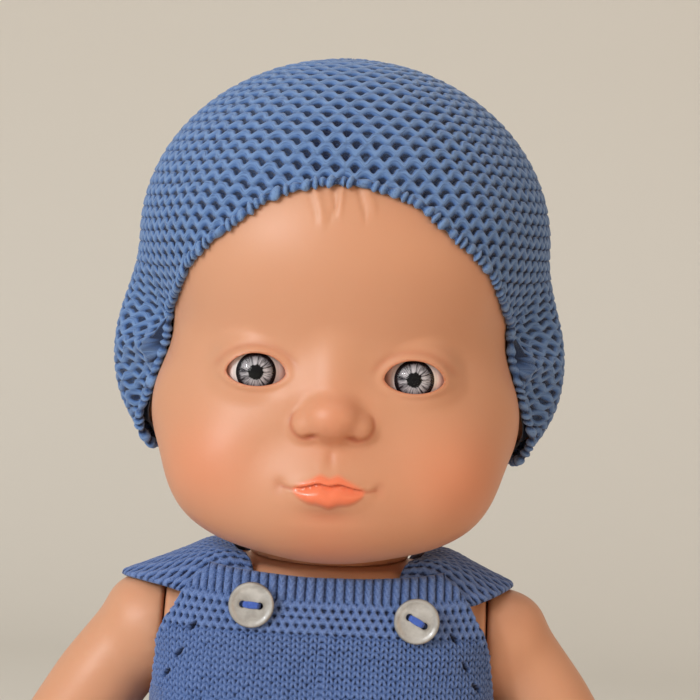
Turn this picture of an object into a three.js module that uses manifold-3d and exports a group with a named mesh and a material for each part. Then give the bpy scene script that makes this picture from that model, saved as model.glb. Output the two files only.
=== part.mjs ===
// Seated baby doll in a knitted bonnet and a buttoned romper. Millimetres, +Z up, the face looks along -Y.
// The origin lies on the floor under the middle of the seat. The doll's own left side is +X.
import * as THREE from "three";
import { mergeVertices } from "three/addons/utils/BufferGeometryUtils.js";
import Module from "manifold-3d";

const wasm = await Module();
wasm.setup();

// Fits and walls
const CLEARANCE = 0.3;
const VINYL_WALL = 3;
const KNIT_THICKNESS = 2.7;
const KNIT_GAP = 0.5;
const BONNET_THICKNESS = 5;
const BONNET_GAP = 0.95;

// Head, measured from the line through the pupils
const HEAD_WIDTH = 106;
const HEAD_DEPTH = 112;
const HEAD_SETBACK = 5;
const CROWN_RISE = 83;
const CHIN_DROP = 49;
const CHEEK_WIDTH = 89.2;
const EYE_SPACING = 41.4;
const EYE_OPENING_WIDTH = 15.6;
const EYE_OPENING_HEIGHT = 8.6;
const EYEBALL_DIAMETER = 21.2;
const EYE_FRONT_REACH = 45.8;
const EYELID_THICKNESS = 1.5;
const IRIS_DIAMETER = 10.4;
const NOSE_WIDTH = 21.8;
const NOSE_TIP_DROP = 11.2;
const NOSE_REACH = 56.8;
const MOUTH_DROP = 27.8;
const LIPS_WIDTH = 17.4;
const EAR_HEIGHT = 32;

// Neck joint, whose axis leans forward
const NECK_DIAMETER = 44.8;
const NECK_SEAM_DROP = 49.5;
const NECK_SETBACK = 3;
const NECK_TILT = THREE.MathUtils.degToRad(6);
const NECK_STEM_DIAMETER = 28;
const FLANGE_OVERHANG = 3.5;
const FLANGE_THICKNESS = 3;

// Torso. The drops are measured from the neck seam.
const NECK_SEAM_HEIGHT = 126.5;
const TORSO_WIDTH = 91;
const TORSO_DEPTH = 76;
const SHOULDER_SPAN = 88;
const SHOULDER_DROP = 22.5;
const SHOULDER_DIAMETER = 32.6;
const ARM_STEM_DIAMETER = 17;
const HIP_SPAN = 76;
const HIP_HEIGHT = 32;
const HIP_TILT = THREE.MathUtils.degToRad(28);
const HIP_DIAMETER = 44;
const LEG_STEM_DIAMETER = 19;

// Limbs
const UPPER_ARM_LENGTH = 47;
const FOREARM_LENGTH = 29;
const UPPER_ARM_DIAMETER = 27;
const WRIST_DIAMETER = 16;
const PALM_LENGTH = 13;
const PALM_WIDTH = 17;
const FINGER_DIAMETER = 5.6;
const FINGER_LENGTH = 13;
const THIGH_LENGTH = 62;
const CALF_LENGTH = 48;
const THIGH_DIAMETER = 36;
const ANKLE_DIAMETER = 20;
const FOOT_LENGTH = 38;
const FOOT_WIDTH = 20;
const BIG_TOE_DIAMETER = 8;
const CUFF_REACH = 34;

// Bib, straps and buttons
const SIDE_SEAM_SETBACK = 6;
const BIB_TOP_DROP = 3.5;
const BIB_TOP_WIDTH = 66;
const BACK_TOP_DROP = 25.5;
const STRAP_OUTER_SPAN = 108;
const STRAP_THICKNESS = 2.4;
const BUTTON_DIAMETER = 12.2;
const BUTTON_THICKNESS = 2.2;
const BUTTON_SPACING = 44;
const BUTTON_DROP = 14.4;
const RIGHT_BUTTON_RISE = 2.2;
const BUTTON_PAIR_SHIFT = 2.7;
const BUTTON_HOLE_DIAMETER = 1.9;
const BUTTON_HOLE_SPACING = 3.9;
const LEFT_BUTTON_TURN = 32;
const RIGHT_BUTTON_TURN = 2;
const THREAD_DIAMETER = 1.1;

// Facet counts
const HEAD_COLUMNS = 48;
const HEAD_ROWS_ABOVE = 15;
const HEAD_ROWS_BELOW = 13;
const BONNET_COLUMNS = 34;
const BONNET_ROWS = 17;
const TORSO_SIDES = 22;
const ROUND_SIDES = 18;
const LIMB_SIDES = 14;
const FINGER_SIDES = 6;
const EYE_SIDES = 14;
const PLUG_SIDES = 14;
const BUTTON_SIDES = 18;
const HOLE_SIDES = 8;
const THREAD_SIDES = 6;

const HALF_TURN = Math.PI;
const FULL_TURN = HALF_TURN * 2;
const QUARTER_TURN = HALF_TURN / 2;
const OVERRUN = HEAD_DEPTH * 2;

const EYE_LINE_HEIGHT = NECK_SEAM_HEIGHT + NECK_SEAM_DROP;
const SHOULDER_HEIGHT = NECK_SEAM_HEIGHT - SHOULDER_DROP;
const BIB_TOP_HEIGHT = NECK_SEAM_HEIGHT - BIB_TOP_DROP;
const BACK_TOP_HEIGHT = NECK_SEAM_HEIGHT - BACK_TOP_DROP;
const BUTTON_HEIGHT = NECK_SEAM_HEIGHT - BUTTON_DROP;

const point = (x, y, z) => new THREE.Vector3(x, y, z);
const UP = point(0, 0, 1);
const LEFT = point(1, 0, 0);
const AHEAD = point(0, -1, 0);
const mix = THREE.MathUtils.lerp;

// Solids, joined and cut with manifold-3d. A surface that faces inwards is turned to face out.
function solidOf(geometry) {
  const bare = geometry.clone();
  bare.deleteAttribute("normal");
  bare.deleteAttribute("uv");
  const merged = mergeVertices(bare, CLEARANCE / 1000);
  const vertProperties = merged.attributes.position.array;
  const triVerts = new Uint32Array(merged.index.array);
  const solid = new wasm.Manifold(new wasm.Mesh({ numProp: 3, vertProperties, triVerts }));
  if (solid.volume() > 0) return solid;
  for (let i = 0; i < triVerts.length; i += 3) {
    [triVerts[i], triVerts[i + 1]] = [triVerts[i + 1], triVerts[i]];
  }
  return new wasm.Manifold(new wasm.Mesh({ numProp: 3, vertProperties, triVerts }));
}

function geometryOf(solid) {
  const { vertProperties, triVerts } = solid.getMesh();
  const geometry = new THREE.BufferGeometry();
  geometry.setAttribute("position", new THREE.BufferAttribute(vertProperties, 3));
  geometry.setIndex(new THREE.BufferAttribute(triVerts, 1));
  geometry.computeVertexNormals();
  return geometry;
}

const join = (first, ...others) => others.reduce((made, other) => made.add(other), first);
const cut = (first, ...others) => others.reduce((made, other) => made.subtract(other), first);

// The main body that a cut leaves, without its loose offcuts
const mainBody = (solid) => solid.decompose().reduce((a, b) => (b.volume() > a.volume() ? b : a));

// A closed skin over rings of points, with a pole at each end
function skin(rings, firstPole, lastPole) {
  const count = rings[0].length;
  const points = [firstPole, ...rings.flat(), lastPole];
  const triangles = [];
  const at = (ring, side) => 1 + ring * count + (side % count);
  for (let side = 0; side < count; side++) {
    triangles.push(0, at(0, side + 1), at(0, side));
    for (let ring = 0; ring + 1 < rings.length; ring++) {
      triangles.push(at(ring, side), at(ring, side + 1), at(ring + 1, side + 1));
      triangles.push(at(ring, side), at(ring + 1, side + 1), at(ring + 1, side));
    }
    triangles.push(at(rings.length - 1, side), at(rings.length - 1, side + 1), points.length - 1);
  }
  const geometry = new THREE.BufferGeometry();
  geometry.setAttribute("position", new THREE.Float32BufferAttribute(points.flatMap((p) => p.toArray()), 3));
  geometry.setIndex(triangles);
  return solidOf(geometry);
}

// Places a geometry whose own axis is +Z at an origin, with that axis along a direction
function aimed(geometry, origin, direction) {
  const turn = new THREE.Quaternion().setFromUnitVectors(UP, direction.clone().normalize());
  return geometry.applyQuaternion(turn).translate(origin.x, origin.y, origin.z);
}

// A turned solid: profile points are [radius, height along the axis], from the axis to the axis
function turned(profile, origin, direction, sides = ROUND_SIDES) {
  const lathe = new THREE.LatheGeometry(profile.map(([r, h]) => new THREE.Vector2(r, h)), sides);
  return solidOf(aimed(lathe.rotateX(QUARTER_TURN), origin, direction));
}

function rod(radius, from, to, origin, direction, sides = ROUND_SIDES) {
  return turned([[0, from], [radius, from], [radius, to], [0, to]], origin, direction, sides);
}

// All space on the side of a plane that its normal points to, as far as an overrun
function beyond(origin, normal) {
  const block = new THREE.BoxGeometry(OVERRUN * 2, OVERRUN * 2, OVERRUN);
  block.translate(0, 0, OVERRUN / 2);
  return solidOf(aimed(block, origin, normal));
}

// A prism along Y from an outline of [x, z] points
function panel(outline, fromY, toY) {
  const shape = new THREE.Shape(outline.map(([x, z]) => new THREE.Vector2(x, z)));
  const prism = new THREE.ExtrudeGeometry(shape, { depth: toY - fromY, bevelEnabled: false });
  return solidOf(prism.rotateX(QUARTER_TURN).translate(0, toY, 0));
}

// Signed distances of soft forms that melt into each other
function fromEllipsoid(p, centre, radii) {
  const q = p.clone().sub(centre);
  const near = q.clone().divide(radii).length();
  const far = q.divide(radii).divide(radii).length();
  return far > 0 ? (near * (near - 1)) / far : -Math.min(radii.x, radii.y, radii.z);
}

function melt(a, b, blend) {
  const share = THREE.MathUtils.clamp((b - a) / blend / 2 + 0.5, 0, 1);
  return mix(b, a, share) - blend * share * (1 - share);
}

const hollow = (a, b, blend) => -melt(-a, b, blend);

// Head forms. Shares are of half the head's width, half its depth and the chin's drop below the pupils.
const halfWidth = HEAD_WIDTH / 2;
const halfDepth = HEAD_DEPTH / 2;
const eyeballRadius = EYEBALL_DIAMETER / 2;
const headOrigin = point(0, 0, EYE_LINE_HEIGHT);
const eyeCentre = point(EYE_SPACING / 2, eyeballRadius - EYE_FRONT_REACH, 0);
const faceScale = point(halfWidth, halfDepth, CHIN_DROP);
const faceForm = ([x, y, z, width, depth, height, blend]) => ({
  centre: point(x, y, z).multiply(faceScale),
  radii: point(width, depth, height).multiply(faceScale),
  blend: blend * halfWidth,
});

const jawShares = [0, -0.21, -0.21, 0.944, 0.679, 0.733, 0.255];
const cheekShares = [0, -0.45, -0.494, 0.398, 0.393, 0.425, 0.132];
const foreheadShares = [0, -0.48, 0.6, 0.72, 0.45, 0.53, 0.22];
const orbitShares = [0, -1, 0.02, 0.2, 0.13, 0.15, 0.1];
const bridgeShares = [0, -0.77, -0.06, 0.1, 0.107, 0.24, 0.14];
const noseTipShares = [0, 0, 0, 0.14, 0.118, 0.122, 0.064];
const nostrilShares = [0, 0, 0, 0.077, 0.084, 0.082, 0.042];
const muzzleShares = [0, -0.68, -0.57, 0.3, 0.232, 0.225, 0.17];
const upperLipShares = [0, -0.889, 0, 0, 0.057, 0.049, 0.03];
const lowerLipShares = [0, -0.893, 0, 0, 0.064, 0.059, 0.03];
const mouthShares = [0, -0.98, 0, 0, 0.093, 0.018, 0.02];
const chinShares = [0, -0.6, -0.713, 0.507, 0.28, 0.3, 0.2];
const neckRootShares = [0, 0, -0.94, 0, 0, 0.33, 0.09];
const earShares = [0.965, 0.09, -0.04, 0.085, 0.16, 0, 0.06];
const earCoverShares = [0.84, 0.09, 0.1, 0.253, 0.42, 0.465, 0.172];
const nostrilDropShare = 0.055;
const nostrilSetbackShare = 0.035;
const lipRiseShare = 0.031;
const lipFallShare = 0.061;

const craniumHeightShare = 0.56;
const cranium = {
  centre: point(0, HEAD_SETBACK, CROWN_RISE * (1 - craniumHeightShare)),
  radii: point(halfWidth, halfDepth, CROWN_RISE * craniumHeightShare),
};
const jaw = faceForm(jawShares);
const ear = faceForm(earShares);
ear.radii.z = EAR_HEIGHT / 2;

const earCover = faceForm(earCoverShares);
const forehead = faceForm(foreheadShares);

// The plain skull with a form on each side of it. p is measured from the pupils' line.
function skullWith(sideForm, p) {
  const folded = point(Math.abs(p.x), p.y, p.z);
  const skull = fromEllipsoid(folded, cranium.centre, cranium.radii);
  const meltIn = (distance, form) =>
    melt(distance, fromEllipsoid(folded, form.centre, form.radii), form.blend);
  return [jaw, forehead, sideForm].reduce(meltIn, skull);
}

// The skull with its ears, and the fuller form that the bonnet follows over them
const skullDistance = (p) => skullWith(ear, p);
const bonnetDistance = (p) => skullWith(earCover, p);

const cheek = faceForm(cheekShares);
cheek.centre.x = CHEEK_WIDTH / 2 - cheek.radii.x;
const orbit = faceForm(orbitShares);
orbit.centre.x = eyeCentre.x;
const noseTip = faceForm(noseTipShares);
noseTip.centre.set(0, noseTip.radii.y - NOSE_REACH, -NOSE_TIP_DROP);
const nostril = faceForm(nostrilShares);
nostril.centre.set(
  NOSE_WIDTH / 2 - nostril.radii.x,
  noseTip.centre.y + nostrilSetbackShare * halfDepth,
  noseTip.centre.z - nostrilDropShare * CHIN_DROP,
);
const upperLip = faceForm(upperLipShares);
upperLip.radii.x = LIPS_WIDTH * 0.34;
upperLip.centre.x = LIPS_WIDTH / 2 - upperLip.radii.x;
upperLip.centre.z = lipRiseShare * CHIN_DROP - MOUTH_DROP;
const lowerLip = faceForm(lowerLipShares);
lowerLip.radii.x = LIPS_WIDTH * 0.45;
lowerLip.centre.z = -lipFallShare * CHIN_DROP - MOUTH_DROP;
const mouth = faceForm(mouthShares);
mouth.radii.x = LIPS_WIDTH * 0.72;
mouth.centre.z = -MOUTH_DROP;
const neckRoot = faceForm(neckRootShares);
neckRoot.centre.y = NECK_SETBACK;
neckRoot.radii.x = NECK_DIAMETER / 2;
neckRoot.radii.y = NECK_DIAMETER / 2;
const lid = {
  centre: eyeCentre,
  radii: point(1, 1, 1).multiplyScalar(eyeballRadius + EYELID_THICKNESS),
  blend: EYELID_THICKNESS * 2,
};
const addedForms = [
  cheek,
  faceForm(muzzleShares),
  faceForm(chinShares),
  faceForm(bridgeShares),
  noseTip,
  nostril,
  neckRoot,
];
const lipForms = [upperLip, lowerLip];

// The whole face and skull
function headDistance(p) {
  const folded = point(Math.abs(p.x), p.y, p.z);
  const meltIn = (distance, form) =>
    melt(distance, fromEllipsoid(folded, form.centre, form.radii), form.blend);
  const carve = (distance, form) =>
    hollow(distance, fromEllipsoid(folded, form.centre, form.radii), form.blend);
  const built = addedForms.reduce(meltIn, skullDistance(p));
  const withLids = meltIn(carve(built, orbit), lid);
  return carve(lipForms.reduce(meltIn, withLids), mouth);
}

// How far a form reaches from the middle of the head in a direction
const headMiddle = point(0, 0, CHIN_DROP * 0.1);
function reachOf(distance, direction) {
  const along = (reach) => distance(headMiddle.clone().addScaledVector(direction, reach));
  let inner = 0;
  const stride = halfWidth / 16;
  while (along(inner + stride) < 0) inner += stride;
  let outer = inner + stride;
  while (outer - inner > CLEARANCE / 100) {
    const middle = (inner + outer) / 2;
    if (along(middle) < 0) inner = middle;
    else outer = middle;
  }
  return inner;
}

// Directions over the head, gathered at the face by shares of an even spacing
const FACE_LATITUDE = THREE.MathUtils.degToRad(-22);
const columnGatherShare = 0.62;
const rowEvenShare = 0.36;
function directionAt(latitude, longitude) {
  return point(
    Math.sin(longitude) * Math.cos(latitude),
    -Math.cos(longitude) * Math.cos(latitude),
    Math.sin(latitude),
  );
}

function headSkin(offset) {
  const latitudes = [];
  for (let row = -HEAD_ROWS_BELOW + 1; row < HEAD_ROWS_ABOVE; row++) {
    const above = row > 0;
    const t = row / (above ? HEAD_ROWS_ABOVE : HEAD_ROWS_BELOW);
    const span = above ? QUARTER_TURN - FACE_LATITUDE : QUARTER_TURN + FACE_LATITUDE;
    latitudes.push(FACE_LATITUDE + span * (rowEvenShare * t + (1 - rowEvenShare) * t ** 3));
  }
  const rings = latitudes.map((latitude) =>
    Array.from({ length: HEAD_COLUMNS }, (_, column) => {
      const even = (FULL_TURN * column) / HEAD_COLUMNS;
      return onHead(headDistance, directionAt(latitude, even - columnGatherShare * Math.sin(even)), offset);
    }),
  );
  return skin(rings, onHead(headDistance, directionAt(-QUARTER_TURN, 0), offset),
    onHead(headDistance, directionAt(QUARTER_TURN, 0), offset));
}

function onHead(distance, direction, offset) {
  const reach = reachOf(distance, direction) + offset;
  return headMiddle.clone().addScaledVector(direction, reach).add(headOrigin);
}

// A skin of evenly spaced points at an offset from a form of the head
function evenSkin(distance, offset, columns, rows) {
  const rings = Array.from({ length: rows - 1 }, (_, row) => {
    const latitude = -QUARTER_TURN + (HALF_TURN * (row + 1)) / rows;
    return Array.from({ length: columns }, (_, column) =>
      onHead(distance, directionAt(latitude, (FULL_TURN * column) / columns), offset),
    );
  });
  return skin(rings, onHead(distance, directionAt(-QUARTER_TURN, 0), offset),
    onHead(distance, directionAt(QUARTER_TURN, 0), offset));
}

// Neck joint frame
const neckOrigin = point(0, NECK_SETBACK, NECK_SEAM_HEIGHT);
const neckAxis = point(0, -Math.sin(NECK_TILT), Math.cos(NECK_TILT));
const neckStemRadius = NECK_STEM_DIAMETER / 2;
const neckPlateThickness = VINYL_WALL + CLEARANCE;
const knobRoomRadius = neckStemRadius + FLANGE_OVERHANG + CLEARANCE * 3;

// Almond outline of the eye opening, seen from the front
const lidPeakShare = 0.55;
function almond(centre, width, height) {
  const outline = [];
  for (let step = 0; step < EYE_SIDES; step++) {
    const turn = (FULL_TURN * step) / EYE_SIDES;
    const rise = Math.sin(turn);
    const flatter = Math.sign(rise) * Math.abs(rise) ** 1.15;
    const lift = rise > 0 ? lidPeakShare : 1 - lidPeakShare;
    outline.push([centre.x + (Math.cos(turn) * width) / 2, centre.z + flatter * height * lift]);
  }
  return outline;
}

function makeHead() {
  const eye = eyeCentre.clone().add(headOrigin);
  const socketRadius = eyeballRadius + CLEARANCE * 2;
  const globe = arcProfile(-1, 1, EYE_SIDES / 2, (share) => share).map(([share]) => [
    Math.cos(share * QUARTER_TURN) * socketRadius,
    Math.sin(share * QUARTER_TURN) * socketRadius,
  ]);
  const sockets = [1, -1].flatMap((side) => {
    const centre = point(eye.x * side, eye.y, eye.z);
    const opening = panel(almond(centre, EYE_OPENING_WIDTH, EYE_OPENING_HEIGHT), -OVERRUN, eye.y);
    return [turned(globe, centre, AHEAD, EYE_SIDES), opening];
  });
  const floor = beyond(neckOrigin.clone().addScaledVector(neckAxis, neckPlateThickness), neckAxis);
  const cavity = evenSkin(skullDistance, -VINYL_WALL * 1.2, PLUG_SIDES, ROUND_SIDES / 2).intersect(floor);
  const seam = neckOrigin.clone().addScaledVector(neckAxis, CLEARANCE / 2);
  return cut(
    headSkin(0),
    cavity,
    ...sockets,
    beyond(seam, neckAxis.clone().negate()).intersect(rod(NECK_DIAMETER, -OVERRUN, 0, seam, neckAxis)),
    rod(neckStemRadius + CLEARANCE, -CLEARANCE, neckPlateThickness * 2, neckOrigin, neckAxis),
    rod(knobRoomRadius, neckPlateThickness, neckPlateThickness * 4, neckOrigin, neckAxis),
  );
}

// Eyes: a white ball with a recess, the printed iris in it and a clear domed front
const irisRadius = IRIS_DIAMETER / 2;
const eyeFront = point(eyeCentre.x, -EYE_FRONT_REACH, EYE_LINE_HEIGHT);
const eyeAxis = AHEAD;
const sphereDrop = (radius) => eyeballRadius - Math.sqrt(eyeballRadius ** 2 - radius ** 2);
const corneaRim = irisRadius * 1.14;
const corneaBulge = irisRadius * 0.11;
const recessDepth = sphereDrop(corneaRim) + irisRadius * 0.2;

function arcProfile(fromRadius, toRadius, steps, heightAt) {
  return Array.from({ length: steps + 1 }, (_, i) => {
    const r = mix(fromRadius, toRadius, i / steps);
    return [r, heightAt(r)];
  });
}

function makeEyeWhite() {
  const wallRadius = corneaRim + CLEARANCE;
  const equator = eyeballRadius * 0.98;
  const profile = [
    [0, -eyeballRadius * 1.4],
    [equator * 0.7, -eyeballRadius * 1.4],
    [equator, -eyeballRadius],
    ...arcProfile(equator, wallRadius, 5, (r) => -sphereDrop(r)),
    [wallRadius, -recessDepth],
    [0, -recessDepth],
  ];
  return turned(profile, eyeFront, eyeAxis, EYE_SIDES);
}

function makeIris() {
  const seat = CLEARANCE - recessDepth;
  const profile = [
    [0, seat],
    [irisRadius, seat],
    [irisRadius, seat + irisRadius * 0.06],
    [0, seat + irisRadius * 0.1],
  ];
  return turned(profile, eyeFront, eyeAxis, EYE_SIDES);
}

function makeCornea() {
  const underside = CLEARANCE * 2 - recessDepth + irisRadius * 0.1;
  const dome = (r) => corneaBulge * (1 - (r / corneaRim) ** 2) - sphereDrop(r);
  const profile = [[0, underside], [corneaRim, underside], ...arcProfile(corneaRim, 0, 4, dome)];
  return turned(profile, eyeFront, eyeAxis, EYE_SIDES);
}

// Torso sections, from the seat up, as shares of the torso's height, half width and half depth:
// height, half width, front, back. The last number says how full the section's corners are.
const torsoShares = [
  [0, 0.4, 0.55, 0.6, 2.5],
  [0.02, 0.46, 0.66, 0.72, 2.5],
  [0.075, 0.56, 0.84, 0.88, 2.5],
  [0.17, 0.7, 0.95, 0.96, 2.5],
  [0.29, 0.86, 1.02, 0.95, 2.5],
  [0.42, 0.98, 1.06, 0.88, 2.6],
  [0.56, 0.98, 1.01, 0.83, 3],
  [0.68, 0.965, 0.92, 0.81, 3.4],
  [0.79, 0.95, 0.82, 0.79, 3.3],
  [0.87, 0.94, 0.73, 0.74, 2.9],
  [0.925, 0.92, 0.67, 0.68, 2.6],
  [0.965, 0.87, 0.62, 0.63, 2.5],
  [0.988, 0.79, 0.6, 0.6, 2.5],
];
const torsoFloor = KNIT_GAP + KNIT_THICKNESS;
const torsoHeight = neckOrigin.z - torsoFloor;

function torsoStations() {
  return torsoShares.map(([height, width, front, back, fullness]) => ({
    z: torsoFloor + height * torsoHeight,
    fullness,
    width: (width * TORSO_WIDTH) / 2,
    front: (front * TORSO_DEPTH) / 2,
    back: (back * TORSO_DEPTH) / 2,
  }));
}

// A section like an ellipse with fuller corners
function section({ z, width, front, back, fullness }, sides) {
  return Array.from({ length: sides }, (_, i) => {
    const turn = (FULL_TURN * i) / sides;
    const across = Math.sign(Math.cos(turn)) * Math.abs(Math.cos(turn)) ** (2 / fullness);
    const along = Math.sign(Math.sin(turn)) * Math.abs(Math.sin(turn)) ** (2 / fullness);
    return point(across * width, along * (along < 0 ? front : back), z);
  });
}

// The torso's skin, pushed out along its slope by an offset that may vary with height
function torsoSkin(offsetAt, sides = TORSO_SIDES) {
  const stations = torsoStations();
  const rings = stations.map((station, i) => {
    const below = stations[Math.max(i - 1, 0)];
    const above = stations[Math.min(i + 1, stations.length - 1)];
    const slope = new THREE.Vector2(above.z - below.z, below.width - above.width).normalize();
    const offset = offsetAt(station.z);
    const out = i > 0 ? slope.x * offset : offset / 2;
    const rise = i > 0 ? slope.y * offset : -offset;
    const moved = {
      z: station.z + rise,
      width: station.width + out,
      front: station.front + out,
      back: station.back + out,
      fullness: station.fullness,
    };
    return section(moved, sides);
  });
  const top = stations.at(-1).z + offsetAt(stations.at(-1).z);
  return skin(rings, point(0, 0, stations[0].z - offsetAt(stations[0].z)), point(0, 0, top));
}

const shoulderCentre = (side) => point((side * SHOULDER_SPAN) / 2, 0, SHOULDER_HEIGHT);
const hipCentre = (side) => point((side * HIP_SPAN) / 2, 0, HIP_HEIGHT);
const hipAxis = (side) => point(side * Math.cos(HIP_TILT), 0, -Math.sin(HIP_TILT));
const shoulderAxis = (side) => point(side, 0, 0);
const shoulderRadius = SHOULDER_DIAMETER / 2;
const hipRadius = HIP_DIAMETER / 2;
const armStemRadius = ARM_STEM_DIAMETER / 2;
const legStemRadius = LEG_STEM_DIAMETER / 2;
const hipBossLength = HIP_SPAN * 0.3;
const shoulderBossLength = SHOULDER_SPAN * 0.2;
const seamPlay = CLEARANCE / 2;

function bosses(offset, reachOut) {
  return [1, -1].flatMap((side) => [
    turned(
      [
        [0, -shoulderBossLength],
        [shoulderRadius * 0.8 + offset, -shoulderBossLength],
        [shoulderRadius + offset, -shoulderBossLength * 0.3],
        [shoulderRadius + offset, reachOut],
        [0, reachOut],
      ],
      shoulderCentre(side),
      shoulderAxis(side),
    ),
    turned(
      [
        [0, -hipBossLength],
        [hipRadius * 0.8 + offset, -hipBossLength],
        [hipRadius + offset, -hipBossLength * 0.3],
        [hipRadius + offset, reachOut],
        [0, reachOut],
      ],
      hipCentre(side),
      hipAxis(side),
    ),
  ]);
}

// The short neck that carries the head
function neckColumn(offset, top) {
  const radius = NECK_DIAMETER / 2 + offset;
  return rod(radius, -NECK_DIAMETER / 2, top, neckOrigin, neckAxis);
}

function jointPlanes(clear) {
  return [1, -1].flatMap((side) => [
    beyond(shoulderCentre(side).addScaledVector(shoulderAxis(side), -clear), shoulderAxis(side)),
    beyond(hipCentre(side).addScaledVector(hipAxis(side), -clear), hipAxis(side)),
  ]);
}

// A hole through the wall for a limb's stem, and the room behind it for the flange, open to the cavity
const cavityReachShare = 0.4;
function plugHole(stemRadius, centre, axis) {
  const roomRadius = stemRadius + FLANGE_OVERHANG + CLEARANCE;
  const roomDepth = Math.abs(centre.x) - (TORSO_WIDTH / 2) * cavityReachShare;
  return [
    rod(stemRadius + CLEARANCE, -roomDepth, VINYL_WALL, centre, axis, PLUG_SIDES),
    rod(roomRadius, -roomDepth, -VINYL_WALL, centre, axis, PLUG_SIDES),
  ];
}

function makeTorso() {
  const outer = join(torsoSkin(() => 0), neckColumn(0, 0), ...bosses(0, OVERRUN / 8));
  const neckTop = beyond(neckOrigin.clone().addScaledVector(neckAxis, -seamPlay), neckAxis);
  const trimmed = cut(outer, neckTop, ...jointPlanes(seamPlay));
  const knob = turned(
    [
      [0, -VINYL_WALL],
      [neckStemRadius, -VINYL_WALL],
      [neckStemRadius, neckPlateThickness + CLEARANCE],
      [neckStemRadius + FLANGE_OVERHANG, neckPlateThickness + CLEARANCE],
      [neckStemRadius + FLANGE_OVERHANG * 0.6, neckPlateThickness + CLEARANCE + FLANGE_THICKNESS],
      [0, neckPlateThickness + CLEARANCE + FLANGE_THICKNESS],
    ],
    neckOrigin,
    neckAxis,
  );
  const innerSkin = cut(torsoSkin(() => -VINYL_WALL, PLUG_SIDES), ...[1, -1].flatMap((side) => [
    beyond(shoulderCentre(side).addScaledVector(shoulderAxis(side), -VINYL_WALL), shoulderAxis(side)),
    beyond(hipCentre(side).addScaledVector(hipAxis(side), -VINYL_WALL), hipAxis(side)),
  ]));
  const holes = [1, -1].flatMap((side) => [
    ...plugHole(armStemRadius, shoulderCentre(side), shoulderAxis(side)),
    ...plugHole(legStemRadius, hipCentre(side), hipAxis(side)),
  ]);
  const bore = rod(
    neckStemRadius - VINYL_WALL,
    -NECK_DIAMETER,
    OVERRUN / 8,
    neckOrigin,
    neckAxis,
  );
  return cut(join(trimmed, knob), innerSkin, bore, ...holes);
}

// The plug that holds a limb in its hole: a stem through the wall and a flange behind it
function plug(stemRadius, centre, axis) {
  const wall = -VINYL_WALL - seamPlay;
  return turned(
    [
      [0, wall - CLEARANCE - FLANGE_THICKNESS],
      [stemRadius, wall - CLEARANCE - FLANGE_THICKNESS],
      [stemRadius + FLANGE_OVERHANG * 0.8, wall - CLEARANCE],
      [stemRadius, wall - CLEARANCE],
      [stemRadius, FLANGE_THICKNESS],
      [0, FLANGE_THICKNESS],
    ],
    centre,
    axis,
    PLUG_SIDES,
  );
}

// A rounded limb along a smooth line through stations of { at, across, deep }
function limb(stations, sideways, sides, stepsPerSpan) {
  const path = new THREE.CatmullRomCurve3(stations.map((s) => s.at), false, "centripetal");
  const spans = stations.length - 1;
  const steps = spans * stepsPerSpan;
  const rings = [];
  for (let i = 0; i <= steps; i++) {
    const t = i / steps;
    const here = path.getPoint(t);
    const tangent = path.getTangent(t);
    const side = sideways.clone().addScaledVector(tangent, -sideways.dot(tangent)).normalize();
    const over = new THREE.Vector3().crossVectors(tangent, side);
    const span = Math.min(Math.floor(t * spans), spans - 1);
    const within = THREE.MathUtils.smoothstep(t * spans - span, 0, 1);
    const across = mix(stations[span].across, stations[span + 1].across, within);
    const deep = mix(stations[span].deep, stations[span + 1].deep, within);
    rings.push(
      Array.from({ length: sides }, (_, k) => {
        const turn = (FULL_TURN * k) / sides;
        return here
          .clone()
          .addScaledVector(side, across * Math.cos(turn))
          .addScaledVector(over, deep * Math.sin(turn));
      }),
    );
  }
  const first = stations[0];
  const last = stations.at(-1);
  const back = path.getTangent(0).multiplyScalar(-Math.min(first.across, first.deep) * 0.6);
  const on = path.getTangent(1).multiplyScalar(Math.min(last.across, last.deep) * 0.6);
  return skin(rings, first.at.clone().add(back), last.at.clone().add(on));
}

// Arm line: shoulder, elbow, wrist and palm, with directions as unit vectors
const upperArmWay = point(0.57, -0.05, -0.82).normalize();
const forearmWay = point(0.28, -0.81, -0.5).normalize();
const palmWay = point(0.2, -0.9, -0.38).normalize();
const thumbWay = point(-0.45, -0.75, 0.35).normalize();
const palmSide = point(0.35, -0.35, 0.87).normalize();
const fingerFanShares = [
  [0.36, 0.92, 0.95],
  [0.13, 1, 1],
  [-0.12, 0.97, 0.98],
  [-0.36, 0.8, 0.86],
];

const armSetShare = 0.4;

// The rounded top of the arm, which turns under the strap
const armRootShares = [
  [0.97, 0],
  [1, 0.15],
  [0.97, 0.42],
  [0.85, 0.75],
  [0.6, 1],
];

function armRootProfile(offset, from = seamPlay) {
  const rings = armRootShares.map(([r, h]) => [r * shoulderRadius + offset, h * shoulderRadius]);
  return [[0, from], [rings[0][0], from], ...rings.slice(1), [0, shoulderRadius * 1.12 + offset]];
}

function armLine() {
  const centre = shoulderCentre(1);
  const armTop = centre.clone().addScaledVector(LEFT, shoulderRadius * armSetShare);
  const elbow = armTop.clone().addScaledVector(upperArmWay, UPPER_ARM_LENGTH);
  const wristAt = elbow.clone().addScaledVector(forearmWay, FOREARM_LENGTH);
  const palmEnd = wristAt.clone().addScaledVector(palmWay, PALM_LENGTH);
  return { centre, armTop, elbow, wristAt, palmEnd };
}

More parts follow.
